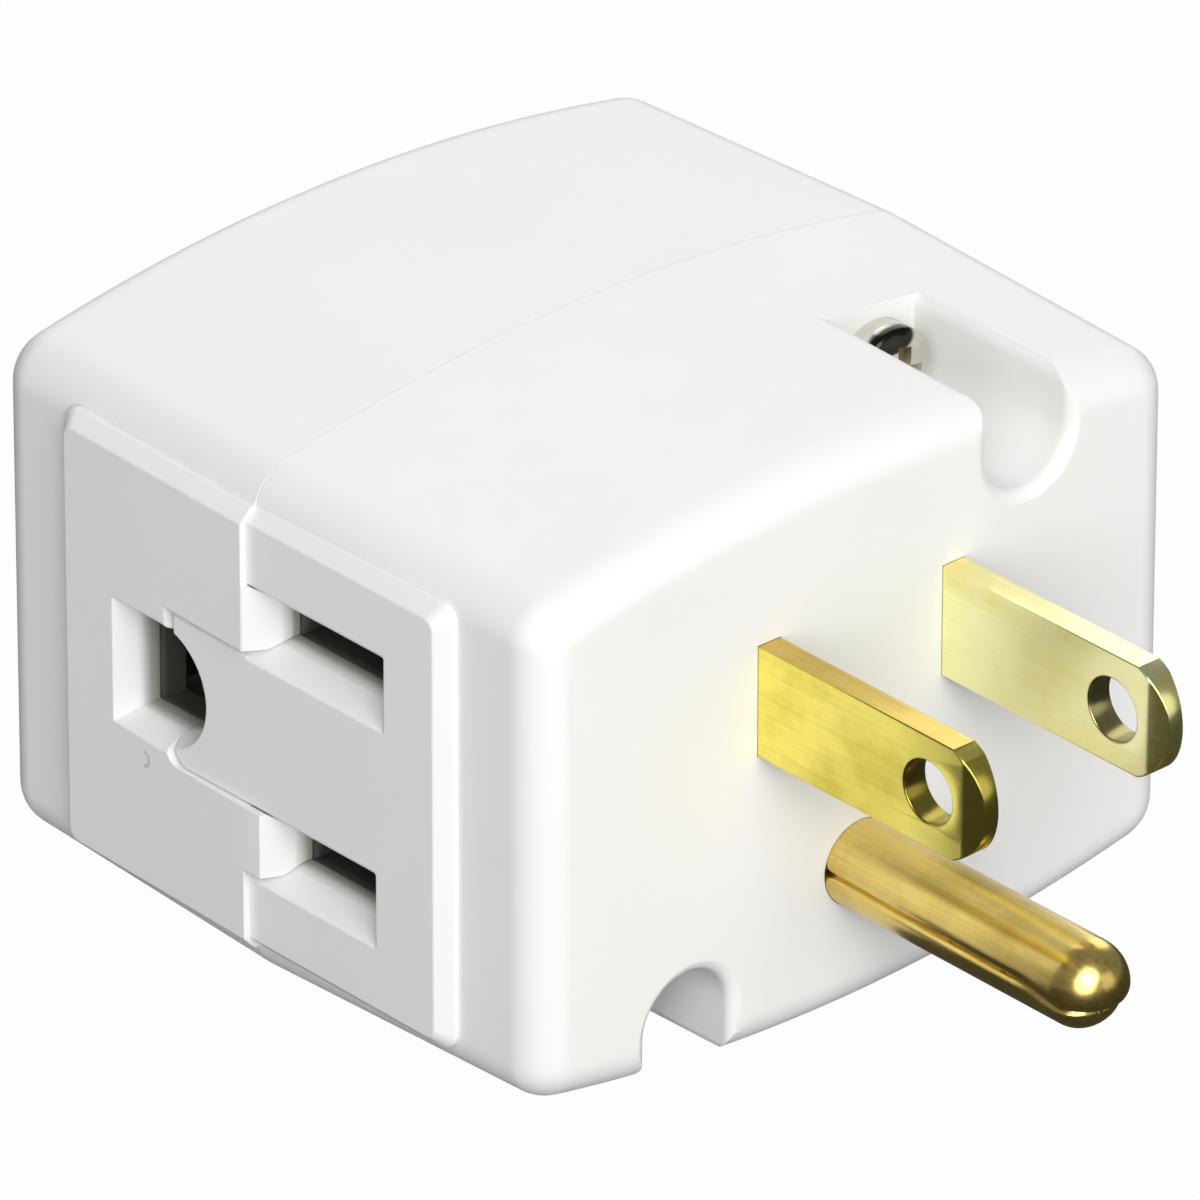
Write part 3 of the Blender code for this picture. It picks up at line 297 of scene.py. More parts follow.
def crowned_outline(pull, inset, side):
    """Body section in X and Z: upright sides, which may step in, arched top and bottom, round corners."""
    half_width = BODY_WIDTH / 2 - pull - inset
    half_height = BODY_HEIGHT / 2 - pull - inset
    crown = CROWN_RADIUS - inset
    corner = CORNER_RADIUS - inset
    arch_z = half_height - crown
    corner_x = half_width - corner
    corner_z = arch_z + sqrt((crown - corner) ** 2 - corner_x ** 2)
    lean = asin(corner_x / (crown - corner))
    right = arc((corner_x, corner_z), corner, 0, pi / 2 - lean, 10)
    top = arc((0, arch_z), crown, pi / 2 - lean, pi / 2, 20)[1:]
    fade = corner * sin(radians(35))
    quarter = [(x - side * smooth((corner_z + fade - z) / fade), z) for x, z in right + top]
    upper = quarter + [(-x, z) for x, z in reversed(quarter[:-1])]
    return upper + [(-x, -z) for x, z in upper]


def top_height(x, y):
    """Height of the body's top surface above its middle, at one place."""
    pull = abs(y - SPLIT_Y) * tan(DRAFT)
    return BODY_HEIGHT / 2 - pull - CROWN_RADIUS + sqrt(CROWN_RADIUS ** 2 - x * x)


def body_ring(y, inset, side=0.0):
    """The body section at one depth."""
    pull = abs(y - SPLIT_Y) * tan(DRAFT)
    return [(x, y, z + BODY_MID_Z) for x, z in crowned_outline(pull, inset, side)]


def shell_blank(end_y, step):
    """Solid half of the body with a rounded rim and a slightly softened parting edge."""
    way = 1 if end_y > SPLIT_Y else -1
    soft = PARTING_SOFT
    rings = [body_ring(SPLIT_Y, soft, step), body_ring(SPLIT_Y + way * 0.35 * soft, 0.35 * soft, step),
             body_ring(SPLIT_Y + way * soft, 0, step)]
    for i in range(13):
        turn = pi / 2 * i / 12
        y = end_y - way * RIM_RADIUS * (1 - sin(turn))
        rings.append(body_ring(y, RIM_RADIUS * (1 - cos(turn)), step * (1 - i / 12)))
    return loft(rings)


def shell_cavity(end_y):
    """Hollow of one half, open at the parting plane."""
    way = 1 if end_y > SPLIT_Y else -1
    ring = [(x, SPLIT_Y - way * WALL, z) for x, _, z in body_ring(SPLIT_Y, WALL)]
    return loft([ring, body_ring(SPLIT_Y, WALL), body_ring(end_y - way * WALL, WALL)])


def plate_outline(left, right, inset):
    """Half or whole plate outline; an end at zero lies on the parting plane."""
    half_height = PLATE_HEIGHT / 2 + PLATE_BEVEL - inset
    points = []
    for end, start in ((right, -pi / 2), (left, pi / 2)):
        side = 1 if start < 0 else -1
        if end == 0:
            points += [(0, -side * half_height), (0, side * half_height)]
            continue
        reach = end - side * inset
        corner = max(PLATE_CORNER + 0.25 * MM - 0.5 * inset, 0.3 * MM)
        low = (reach - side * corner, -side * (half_height - corner))
        high = (reach - side * corner, side * (half_height - corner))
        points += arc(low, corner, start, start + pi / 2, 6)
        points += arc(high, corner, start + pi / 2, start + pi, 6)
    return points


# Depth below the face and inset from the base, up the edge of a plate, in millimetres
PLATE_EDGE = ((1.00, 0.00), (0.86, 0.00), (0.77, 0.02), (0.70, 0.08), (0.09, 0.69), (0.035, 0.75),
              (0.00, 0.83))


def plate_body(outlet, left, right, face, root, draft=0.0):
    """Raised plate with rounded bevel edges, sunk into the wall at its root."""
    rings = [[(root, u, w) for u, w in plate_outline(left, right, 0)]]
    for depth, inset in PLATE_EDGE:
        rings.append([(face - depth * MM - abs(u) * tan(draft), u, w)
                      for u, w in plate_outline(left, right, inset * MM)])
    return moved(loft(rings), outlet_frame(outlet))


def side_plate(outlet, half):
    """The part of a side plate that belongs to one half."""
    reach = PLATE_LENGTH / 2 + PLATE_BEVEL
    forward = (outlet == "right") == (half == "plug")
    left, right = (0, reach) if forward else (-reach, 0)
    root = BODY_WIDTH / 2 - WALL / 2
    if half == "plug":
        return plate_body(outlet, left, right, PLUG_FACE, root)
    return plate_body(outlet, left, right, REAR_FACE, root, DRAFT)


def funnel_rings(face, depth, inset, throat):
    """Stations down a mouth: level and how far the outline stands in, with rounded lip and throat."""
    slope = inset / depth
    back = face - depth - throat
    wide = inset - THROAT_RELIEF
    return ((face + WALL, -LIP * 0.9), (face + 0.01 * MM, -LIP * 0.9), (face - 0.03 * MM, -LIP * 0.45),
            (face - 0.08 * MM, -LIP * 0.1), (face - 0.17 * MM, 0.17 * MM * slope),
            (face - depth + 0.2 * MM, inset - 0.2 * MM * slope), (face - depth, inset - 0.04 * MM),
            (face - depth - 0.2 * MM, inset), (back, inset), (back - THROAT_RELIEF, wide),
            (face - SLEEVE_DEPTH - WALL, wide))


def slot_sizes(pole):
    """Left end, right end and height of the middle of one blade slot."""
    rise = SLOT_RISE if pole == "neutral" else -SLOT_RISE
    return SLOT_OFFSET - MOUTH_LENGTH[pole] / 2, SLOT_OFFSET + MOUTH_LENGTH[pole] / 2, rise


def slot_funnel(outlet, pole, open_left):
    """Cutter for one blade slot."""
    left, right, rise = slot_sizes(pole)
    half = SLOT_MOUTH_HEIGHT / 2
    soft = SLOT_CORNER
    radii = (0, soft, soft, 0) if open_left else (soft, soft, soft, soft)
    rings = []
    for n, inset in funnel_rings(SLOT_FACE[outlet], FUNNEL_DEPTH, FUNNEL_INSET, THROAT_DEPTH):
        start = -MATE_GAP if open_left else left + inset
        outline = round_rectangle(start, right - inset, rise - half + inset, rise + half - inset, radii)
        rings.append([(n, u, w) for u, w in outline])
    return moved(loft(rings), outlet_frame(outlet))


def slot_end(outlet, pole):
    """Left end of a slot, moulded on the other half, that fills the open funnel."""
    rise = slot_sizes(pole)[2]
    lip, throat = SLOT_ENDS[pole]
    face = SLOT_FACE[outlet]
    top = END_TOP[outlet]
    narrow = face - FUNNEL_DEPTH
    back = narrow - THROAT_DEPTH
    slope = (throat - lip) / (top - narrow)
    shoulder = face - TONGUE_SLOPE_DEPTH
    ceiling = max(0, face - top) / FUNNEL_DEPTH * FUNNEL_INSET
    half = SLOT_MOUTH_HEIGHT / 2 - MATE_GAP
    wide = FUNNEL_INSET - THROAT_RELIEF
    stations = [(top, lip - 0.05 * MM, ceiling, TONGUE_CHAMFER),
                (top - 0.03 * MM, lip + 0.01 * MM, ceiling, TONGUE_CHAMFER),
                (top - 0.12 * MM, lip + 0.12 * MM * slope, ceiling, TONGUE_CHAMFER)]
    if top > face:
        stations.append((face, lip + (top - face) * slope, 0, TONGUE_CHAMFER))
    stations += [(shoulder, lip + (top - shoulder) * slope, TONGUE_CHAMFER, TONGUE_CHAMFER),
                 (narrow, throat, FUNNEL_INSET, FUNNEL_INSET), (back, throat, FUNNEL_INSET, FUNNEL_INSET),
                 (back - THROAT_RELIEF, throat - THROAT_RELIEF, wide, wide),
                 (face - SLEEVE_DEPTH, throat - THROAT_RELIEF, wide, wide)]
    rings = []
    for n, end, down, up in stations:
        outline = rectangle(-MATE_GAP, end, rise - half + up, rise + half - down)
        rings.append([(n, u, w) for u, w in outline])
    return moved(loft(rings), outlet_frame(outlet))


def ground_funnel(outlet):
    """Cutter for the ground hole: square towards the left, round towards the slots."""
    rings = []
    for n, inset in funnel_rings(HOLE_FACE[outlet], GROUND_DEPTH, GROUND_INSET, GROUND_THROAT_DEPTH):
        half = GROUND_MOUTH_HALF - inset
        outline = arc((-GROUND_OFFSET, 0), half, -pi / 2, pi / 2, 32)
        outline += [(-GROUND_OFFSET - half, half), (-GROUND_OFFSET - half, -half)]
        rings.append([(n, u, w) for u, w in outline])
    return moved(loft(rings), outlet_frame(outlet))


def ground_sleeve(outlet):
    """Guide wall round a ground hole on the inside."""
    face = HOLE_FACE[outlet]
    half = GROUND_MOUTH_HALF - GROUND_INSET + SLEEVE_WALL
    low = (face - SLEEVE_DEPTH, -GROUND_OFFSET - half, -half)
    high = (face - FUNNEL_DEPTH - WALL / 4, -GROUND_OFFSET + half, half)
    return moved(box(low, high), outlet_frame(outlet))


def tongue_outline(end, low, high, root):
    """Outline of the tongue or of its recess, round at its lower left corner."""
    corner = arc((TONGUE_CORNER - end, low + TONGUE_CORNER), TONGUE_CORNER, pi, 3 * pi / 2, 16)
    return corner + [(root, low), (root, high), (-end, high)]


def tongue(outlet):
    """Bridge between the slots that reaches across the parting plane to the ground hole."""
    face = PLUG_FACE
    rings = []
    fine = TONGUE_SOFT
    steps = ((BODY_WIDTH, 0), (TONGUE_SLOPE_DEPTH, 0), (2 * fine, 0), (0.5 * fine, 0.3 * fine), (0, fine))
    for depth, soft in steps:
        rest = min(depth / TONGUE_SLOPE_DEPTH, 1)
        n = max(face - depth, BODY_WIDTH / 2 - WALL)
        end = TONGUE_END - TONGUE_END_SLOPE * (1 - rest) - soft
        high = TONGUE_HALF + TONGUE_CHAMFER * rest - soft
        rings.append([(n, u, w) for u, w in tongue_outline(end, soft - TONGUE_HALF, high, WALL / 2)])
    return moved(loft(rings), outlet_frame(outlet))


def tongue_recess(outlet):
    """Room for the tongue in the other half."""
    high = TONGUE_HALF + TONGUE_CHAMFER + MATE_GAP
    outline = tongue_outline(TONGUE_END + MATE_GAP, -TONGUE_HALF - MATE_GAP, high, 0)
    rings = [[(n, u, w) for u, w in outline] for n in (BODY_WIDTH / 2 - WALL - MATE_GAP, REAR_FACE + WALL)]
    return moved(loft(rings), outlet_frame(outlet))


def slot_sleeve(outlet, pole):
    """Guide wall round a slot on the inside of the housing."""
    left, right, rise = slot_sizes(pole)
    face = SLOT_FACE[outlet]
    start = left + FUNNEL_INSET - SLEEVE_WALL if outlet == "rear" else 0.1 * MM
    half = SLOT_MOUTH_HEIGHT / 2 - FUNNEL_INSET + SLEEVE_WALL
    low = (face - SLEEVE_DEPTH, start, rise - half)
    high = (face - FUNNEL_DEPTH - WALL / 4, right - FUNNEL_INSET + SLEEVE_WALL, rise + half)
    return moved(box(low, high), outlet_frame(outlet))


# Depth below the surface and spread, up the rolled lip of a channel, in millimetres
CHANNEL_LIP = ((0.75, 0.00), (0.48, 0.05), (0.28, 0.16), (0.13, 0.34), (0.03, 0.56), (-0.05, 0.80))
LIP_SPREAD = 0.80


def channel_ring(screw, y, grow):
    """Section of the open channel whose lips roll over into the body's crowned surface."""
    x0, rise = SCREWS[screw]
    way = 1 if rise > 0 else -1
    radius = CHANNEL_RADIUS + grow
    points = []
    lips = CHANNEL_LIP + ((-1.0, LIP_SPREAD),)
    for side in (-1, 1):
        edge = x0 + side * radius
        level = top_height(edge, min(y, 0)) - abs(rise)
        ladder = [(edge + side * out * MM, level - down * MM) for down, out in lips]
        if side < 0:
            points += list(reversed(ladder))
            points += arc((x0, 0), radius, pi, 2 * pi, 24)
        else:
            points += ladder
    return [(a, y, BODY_MID_Z + rise + way * b) for a, b in points]


def screw_channel(screw):
    """Cutter for the open channel of one screw, with rounded lips."""
    stations = [(-CHANNEL_DEPTH, 0)]
    stations += [(-down * MM, out * MM) for down, out in CHANNEL_LIP]
    stations.append((WALL, LIP_SPREAD * MM))
    return loft([channel_ring(screw, y, grow) for y, grow in stations])


def channel_casing(screw):
    """Wall round the channel on the inside."""
    x0, rise = SCREWS[screw]
    way = 1 if rise > 0 else -1
    reach = BODY_HEIGHT / 2 - WALL / 2 - (SCREW_X + CASING_RADIUS) ** 2 / (2 * CROWN_RADIUS)
    outline = arc((x0, 0), CASING_RADIUS, pi, 2 * pi, 24)
    outline += [(x0 + CASING_RADIUS, reach - abs(rise)), (x0 - CASING_RADIUS, reach - abs(rise))]
    return loft([[(a, y, BODY_MID_Z + rise + way * b) for a, b in outline]
                 for y in (-CHANNEL_DEPTH - WALL, -WALL / 2)])


def screw_rod(screw, radius, low, high):
    """A cylinder on one screw's axis."""
    x, rise = SCREWS[screw]
    return rod((x, BODY_MID_Z + rise), radius, low, high)


def blade_slots():
    """Openings in the plug face for the blades and the ground pin."""
    bodies = []
    for side in (-1, 1):
        half_t = BLADE_THICKNESS / 2 + SLIP
        half_w = BLADE_WIDTH / 2 + SLIP
        x = side * BLADE_SPACING / 2
        bodies.append(box((x - half_t, -PAD_DEPTH - WALL, -half_w), (x + half_t, WALL, half_w)))
    bodies.append(rod((0, -PIN_DROP), PIN_RADIUS + SLIP, -PAD_DEPTH - WALL, WALL))
    return bodies


def make_plug_housing(material):
    """Front half of the body."""
    item = mesh_object("plug_shell", [shell_blank(0, SHELL_STEP)])
    combine(item, "DIFFERENCE", [shell_cavity(0)])
    combine(item, "UNION", [side_plate("right", "plug"), side_plate("left", "plug")])
    half = BLADE_SPACING / 2 + BLADE_THICKNESS / 2 + WALL
    low = (-half, -PAD_DEPTH, -PIN_DROP - PIN_RADIUS - WALL / 2)
    high = (half, -WALL / 2, BLADE_WIDTH / 2 + WALL / 2)
    combine(item, "UNION", [box(low, high)])
    combine(item, "UNION", [channel_casing(screw) for screw in SCREWS])
    boss_end = -CHANNEL_DEPTH - WALL / 2
    combine(item, "UNION", [screw_rod(screw, BOSS_RADIUS, SPLIT_Y, boss_end) for screw in SCREWS])
    combine(item, "UNION", [slot_sleeve("right", pole) for pole in POLES] + [ground_sleeve("left")])
    combine(item, "DIFFERENCE", [tongue_recess("left")])
    combine(item, "UNION", [tongue("right")] + [slot_end("left", pole) for pole in POLES])
    combine(item, "DIFFERENCE", [slot_funnel("right", pole, True) for pole in POLES])
    combine(item, "DIFFERENCE", [ground_funnel(outlet) for outlet in TURNS])
    combine(item, "DIFFERENCE", blade_slots())
    combine(item, "DIFFERENCE", [screw_channel(screw) for screw in SCREWS])
    holes = [screw_rod(screw, SCREW_CLEARANCE_RADIUS, SPLIT_Y - WALL, -CHANNEL_DEPTH + WALL)
             for screw in SCREWS]
    combine(item, "DIFFERENCE", holes)
    finish(item, material)
    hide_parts("plug_housing")
    return item


def make_rear_housing(material):
    """Back half of the body."""
    item = mesh_object("rear_shell", [shell_blank(-BODY_DEPTH, 0)])
    combine(item, "DIFFERENCE", [shell_cavity(-BODY_DEPTH)])
    reach = PLATE_LENGTH / 2 + PLATE_BEVEL
    end_plate = plate_body("rear", -reach, reach, END_FACE, BODY_DEPTH / 2 - WALL / 2)
    combine(item, "UNION", [side_plate("right", "rear"), side_plate("left", "rear"), end_plate])
    boss_end = SCREW_HOLE_END - WALL / 2
    combine(item, "UNION", [screw_rod(screw, BOSS_RADIUS, boss_end, SPLIT_Y) for screw in SCREWS])
    sleeves = [slot_sleeve(outlet, pole) for outlet in ("left", "rear") for pole in POLES]
    combine(item, "UNION", sleeves + [ground_sleeve("right"), ground_sleeve("rear")])
    combine(item, "DIFFERENCE", [tongue_recess("right")])
    combine(item, "UNION", [tongue("left")] + [slot_end("right", pole) for pole in POLES])
    slots = [slot_funnel("left", pole, True) for pole in POLES]
    slots += [slot_funnel("rear", pole, False) for pole in POLES]
    combine(item, "DIFFERENCE", slots)
    combine(item, "DIFFERENCE", [ground_funnel(outlet) for outlet in TURNS])
    holes = [screw_rod(screw, SCREW_HOLE_RADIUS, SCREW_HOLE_END, SPLIT_Y + WALL) for screw in SCREWS]
    combine(item, "DIFFERENCE", holes)
    finish(item, material)
    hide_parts("rear_housing")
    return item


# Materials

def node(tree, kind, **values):
    """One shader node with its settings and plain inputs."""
    made = tree.nodes.new(kind)
    for key, value in values.items():
        if key in made.inputs:
            made.inputs[key].default_value = value
        else:
            setattr(made, key, value)
    return made


def ramp(tree, factor, stops):
    """A colour ramp on a factor."""
    made = tree.nodes.new("ShaderNodeValToRGB")
    tree.links.new(factor, made.inputs["Fac"])
    elements = made.color_ramp.elements
    while len(elements) < len(stops):
        elements.new(0.5)
    for element, (place, colour) in zip(elements, stops):
        element.position = place
        element.color = (*colour, 1.0)
    return made.outputs["Color"]


def noise(tree, vector, scale, detail=4.0, rough=0.55):
    """A noise texture on object coordinates."""
    made = tree.nodes.new("ShaderNodeTexNoise")
    made.inputs["Scale"].default_value = scale
    made.inputs["Detail"].default_value = detail
    made.inputs["Roughness"].default_value = rough
    tree.links.new(vector, made.inputs["Vector"])
    return made.outputs["Fac"]


def stretched(tree, scale):
    """Object coordinates multiplied by a scale."""
    coords = tree.nodes.new("ShaderNodeTexCoord")
    mapping = tree.nodes.new("ShaderNodeMapping")
    mapping.inputs["Scale"].default_value = scale
    tree.links.new(coords.outputs["Object"], mapping.inputs["Vector"])
    return mapping.outputs["Vector"]


def new_material(name):
    """An empty Principled material and its parts."""
    material = bpy.data.materials.new(name)
    material.use_nodes = True
    tree = material.node_tree
    return material, tree, tree.nodes["Principled BSDF"]


def to_range(tree, value, low, high):
    """Map a 0 to 1 value to a range."""
    made = tree.nodes.new("ShaderNodeMapRange")
    made.inputs["To Min"].default_value = low
    made.inputs["To Max"].default_value = high
    tree.links.new(value, made.inputs["Value"])
    return made.outputs["Result"]


def calculate(tree, operation, first, second=0.0):
    """One math step on sockets or plain numbers."""
    made = tree.nodes.new("ShaderNodeMath")
    made.operation = operation
    for socket, value in zip(made.inputs, (first, second)):
        if isinstance(value, float):
            socket.default_value = value
        else:
            tree.links.new(value, socket)
    return made.outputs["Value"]


def object_axes(tree):
    """The three object coordinates as sockets."""
    coords = tree.nodes.new("ShaderNodeTexCoord")
    split = tree.nodes.new("ShaderNodeSeparateXYZ")
    tree.links.new(coords.outputs["Object"], split.inputs[0])
    return split.outputs["X"], split.outputs["Y"], split.outputs["Z"]


def scaled(tree, value, factor):
    """A socket's value times a plain number."""
    return calculate(tree, "MULTIPLY", value, float(factor))


def squares(tree, first, second):
    """The sum of the squares of two sockets."""
    return calculate(tree, "ADD", calculate(tree, "MULTIPLY", first, first),
                     calculate(tree, "MULTIPLY", second, second))


def multiplied(tree, colour, shade):
    """A colour made darker by a shade."""
    made = tree.nodes.new("ShaderNodeMix")
    made.data_type = "RGBA"
    made.blend_type = "MULTIPLY"
    made.inputs["Factor"].default_value = 1.0
    sockets = [socket for socket in made.inputs if socket.type == "RGBA"]
    tree.links.new(colour, sockets[0])
    tree.links.new(shade, sockets[1])
    return [socket for socket in made.outputs if socket.type == "RGBA"][0]


# The shade that leaves a colour as it is
PLAIN = (1.0, 1.0, 1.0)


def painted_depth_shade(tree):
    """Painted shade: white near the outlet faces and dark in the unlit space behind the openings."""
    x, y, z = object_axes(tree)
    across = calculate(tree, "SUBTRACT", REAR_FACE, calculate(tree, "ABSOLUTE", x))
    back = calculate(tree, "ADD", y, BODY_DEPTH + PLATE_PROUD)
    front = scaled(tree, y, -1)
    height = calculate(tree, "ABSOLUTE", calculate(tree, "SUBTRACT", z, BODY_MID_Z))
    middle = calculate(tree, "SUBTRACT", DARK_HALF_HEIGHT, height)
    inside = across
    for value in (back, front, scaled(tree, middle, 20)):
        inside = calculate(tree, "MINIMUM", inside, value)
    return ramp(tree, scaled(tree, inside, 1 / DARK_REACH),
                [(0.42, PLAIN), (0.58, (0.50, 0.48, 0.44)), (0.95, (0.09, 0.09, 0.08))])


def nick_shade(tree):
    """White but for the small hooked nick under the ground hole of the right outlet."""
    x, y, z = object_axes(tree)
    along = calculate(tree, "SUBTRACT", y, NICK_Y)
    up = calculate(tree, "SUBTRACT", z, NICK_Z)
    away = calculate(tree, "SQRT", squares(tree, along, up))
    ring = calculate(tree, "ABSOLUTE", calculate(tree, "SUBTRACT", away, NICK_RADIUS))
    near = calculate(tree, "SUBTRACT", 1.0, scaled(tree, ring, 1 / NICK_WIDTH))
    near = calculate(tree, "MINIMUM", near, scaled(tree, along, 10 / MM))
    near = calculate(tree, "MINIMUM", near, scaled(tree, x, 1 / MM))
    return ramp(tree, near, [(0.0, PLAIN), (0.7, (0.72, 0.71, 0.68))])


def white_plastic():
    """Satin moulded plastic: faint flow tint, fine grain, softened small edges and painted shade behind the
    outlets' openings.
    """
    material, tree, shader = new_material("moulded_white")
    coords = stretched(tree, (1, 1, 1))
    cloud = noise(tree, coords, 45.0, 3.0)
    colour = ramp(tree, cloud, [(0.3, (0.835, 0.835, 0.82)), (0.7, (0.86, 0.86, 0.85))])
    # Painted shade behind the outlets' openings, then the grey nick under the right outlet's ground hole
    colour = multiplied(tree, multiplied(tree, colour, painted_depth_shade(tree)), nick_shade(tree))
    tree.links.new(colour, shader.inputs["Base Color"])
    fine = noise(tree, coords, 900.0, 3.0)
    tree.links.new(to_range(tree, fine, 0.34, 0.46), shader.inputs["Roughness"])
    shader.inputs["IOR"].default_value = 1.49
    shader.inputs["Specular IOR Level"].default_value = 0.45
    grain = noise(tree, coords, 5200.0, 2.0)
    rounding = node(tree, "ShaderNodeBevel", samples=4)
    rounding.inputs["Radius"].default_value = EDGE_ROUNDING
    bump = tree.nodes.new("ShaderNodeBump")
    bump.inputs["Strength"].default_value = 0.06
    bump.inputs["Distance"].default_value = 0.02 * MM
    tree.links.new(grain, bump.inputs["Height"])
    tree.links.new(rounding.outputs["Normal"], bump.inputs["Normal"])
    tree.links.new(bump.outputs["Normal"], shader.inputs["Normal"])
    return material


def blade_shade(tree, planed_shade, rim):
    """White on a blade's flats, with painted shade: olive on its hole's wall and a darker tint on its planed
    end, where the brass mirrors dark surroundings; its narrow edges are tinted too.
    """
    _, y, z = object_axes(tree)
    away = calculate(tree, "SQRT", squares(tree, calculate(tree, "SUBTRACT", y, BLADE_HOLE_REACH), z))
    away = calculate(tree, "SUBTRACT", away, BLADE_HOLE_DIAMETER / 2)
    # Painted shade on the hole's wall
    hole_wall_shade = ramp(tree, scaled(tree, away, 1 / MM), [(0.05, (0.40, 0.37, 0.30)), (0.13, PLAIN)])
    # Painted shade on the planed end
    beyond = calculate(tree, "SUBTRACT", y, BLADE_LENGTH - BLADE_TAPER_LENGTH)
    end = ramp(tree, scaled(tree, beyond, 1 / MM), [(0.0, PLAIN), (0.10, planed_shade)])
    over = calculate(tree, "SUBTRACT", calculate(tree, "ABSOLUTE", z), BLADE_WIDTH / 2 - BLADE_EDGE)
    edge = ramp(tree, scaled(tree, over, 1 / MM), [(0.02, PLAIN), (0.07, rim)])
    return multiplied(tree, multiplied(tree, hole_wall_shade, end), edge)


def brass(name, light, deep, rough_low, rough_high, along, planed_shade=None, rim=None):
    """Rolled brass with fine drawn streaks along one axis, and on a blade painted shade in its hole and on
    its planed end.
    """
    material, tree, shader = new_material(name)
    scale = {"X": (60, 4000, 4000), "Y": (4000, 60, 4000)}[along]
    streak = noise(tree, stretched(tree, scale), 1.0, 4.0, 0.6)
    cloud = noise(tree, stretched(tree, (1, 1, 1)), 170.0, 5.0, 0.6)
    mix = tree.nodes.new("ShaderNodeMath")
    mix.operation = "MULTIPLY_ADD"
    mix.inputs[1].default_value = 0.45
    tree.links.new(streak, mix.inputs[0])
    tree.links.new(cloud, mix.inputs[2])
    colour = ramp(tree, mix.outputs["Value"], [(0.50, deep), (0.80, light)])
    # Painted shade on a blade's hole wall and planed end, and the tint of its narrow edges
    if planed_shade:
        colour = multiplied(tree, colour, blade_shade(tree, planed_shade, rim))
    tree.links.new(colour, shader.inputs["Base Color"])
    tree.links.new(to_range(tree, streak, rough_low, rough_high), shader.inputs["Roughness"])
    shader.inputs["Metallic"].default_value = 1.0
    bump = tree.nodes.new("ShaderNodeBump")
    bump.inputs["Strength"].default_value = 0.12
    bump.inputs["Distance"].default_value = 0.01 * MM
    tree.links.new(streak, bump.inputs["Height"])
    tree.links.new(bump.outputs["Normal"], shader.inputs["Normal"])
    return material


def nickel():
    """Plated screw steel, with painted shade in the recess and a painted shade patch on the head."""
    material, tree, shader = new_material("nickel_plate")
    cloud = noise(tree, stretched(tree, (1, 1, 1)), 900.0, 4.0)
    colour = ramp(tree, cloud, [(0.3, (0.66, 0.64, 0.58)), (0.7, (0.80, 0.78, 0.72))])
    x, y, z = object_axes(tree)
    # Painted shade in the cross recess: darker deep inside the head's rim
    sunk = scaled(tree, calculate(tree, "SUBTRACT", SCREW_HEAD_HEIGHT - CHANNEL_DEPTH, y), 1 / MM)
    aside = calculate(tree, "SUBTRACT", calculate(tree, "ABSOLUTE", x), SCREW_X)
    above = calculate(tree, "ABSOLUTE", calculate(tree, "SUBTRACT", z, BODY_MID_Z))
    above = calculate(tree, "SUBTRACT", above, SCREW_RISE)
    reach = (SCREW_HEAD_RADIUS - HEAD_RIM) ** 2
    core = scaled(tree, calculate(tree, "SUBTRACT", reach, squares(tree, aside, above)), 0.5 / MM ** 2)
    painted_recess_shade = ramp(tree, calculate(tree, "MINIMUM", sunk, core), [(0.25, PLAIN), (0.6, (0.80, 0.77, 0.68))])
    # Painted shade: a dark patch over the upper, inward part of each head's top
    across = scaled(tree, calculate(tree, "SUBTRACT", aside, HEAD_SHADE_ASIDE), 1 / HEAD_SHADE_HALF_WIDTH)
    upward = scaled(tree, calculate(tree, "SUBTRACT", above, HEAD_SHADE_ABOVE), 1 / HEAD_SHADE_HALF_HEIGHT)
    spread = calculate(tree, "MAXIMUM", squares(tree, across, upward), scaled(tree, sunk, 0.75))
    painted_head_shade = ramp(tree, spread, [(0.70, (0.06, 0.06, 0.05)), (0.95, PLAIN)])
    colour = multiplied(tree, multiplied(tree, colour, painted_recess_shade), painted_head_shade)
    tree.links.new(colour, shader.inputs["Base Color"])
    tree.links.new(to_range(tree, cloud, 0.12, 0.26), shader.inputs["Roughness"])
    shader.inputs["Metallic"].default_value = 1.0
    return material


# Metal pieces

def outline_curve(name, loops, half_thickness, edge):
    """A flat shape with holes, given thickness and rounded edges by a curve, as a mesh."""
    curve = bpy.data.curves.new(name, "CURVE")
    curve.dimensions = "2D"
    curve.fill_mode = "BOTH"
    curve.extrude = half_thickness - edge
    curve.bevel_depth = edge
    curve.bevel_resolution = 3
    curve.offset = -edge
    for loop in loops:
        spline = curve.splines.new("POLY")
        spline.points.add(len(loop) - 1)
        for point, (a, b) in zip(spline.points, loop):
            point.co = (a, b, 0, 1)
        spline.use_cyclic_u = True
    holder = bpy.data.objects.new(name, curve)
    bpy.context.scene.collection.objects.link(holder)
    bpy.context.view_layer.update()
    graph = bpy.context.evaluated_depsgraph_get()
    mesh = bpy.data.meshes.new_from_object(holder.evaluated_get(graph))
    bpy.data.objects.remove(holder)
    bpy.data.curves.remove(curve)
    bm = bmesh.new()
    bm.from_mesh(mesh)
    bpy.data.meshes.remove(mesh)
    bmesh.ops.remove_doubles(bm, verts=bm.verts, dist=1e-7)
    return bm


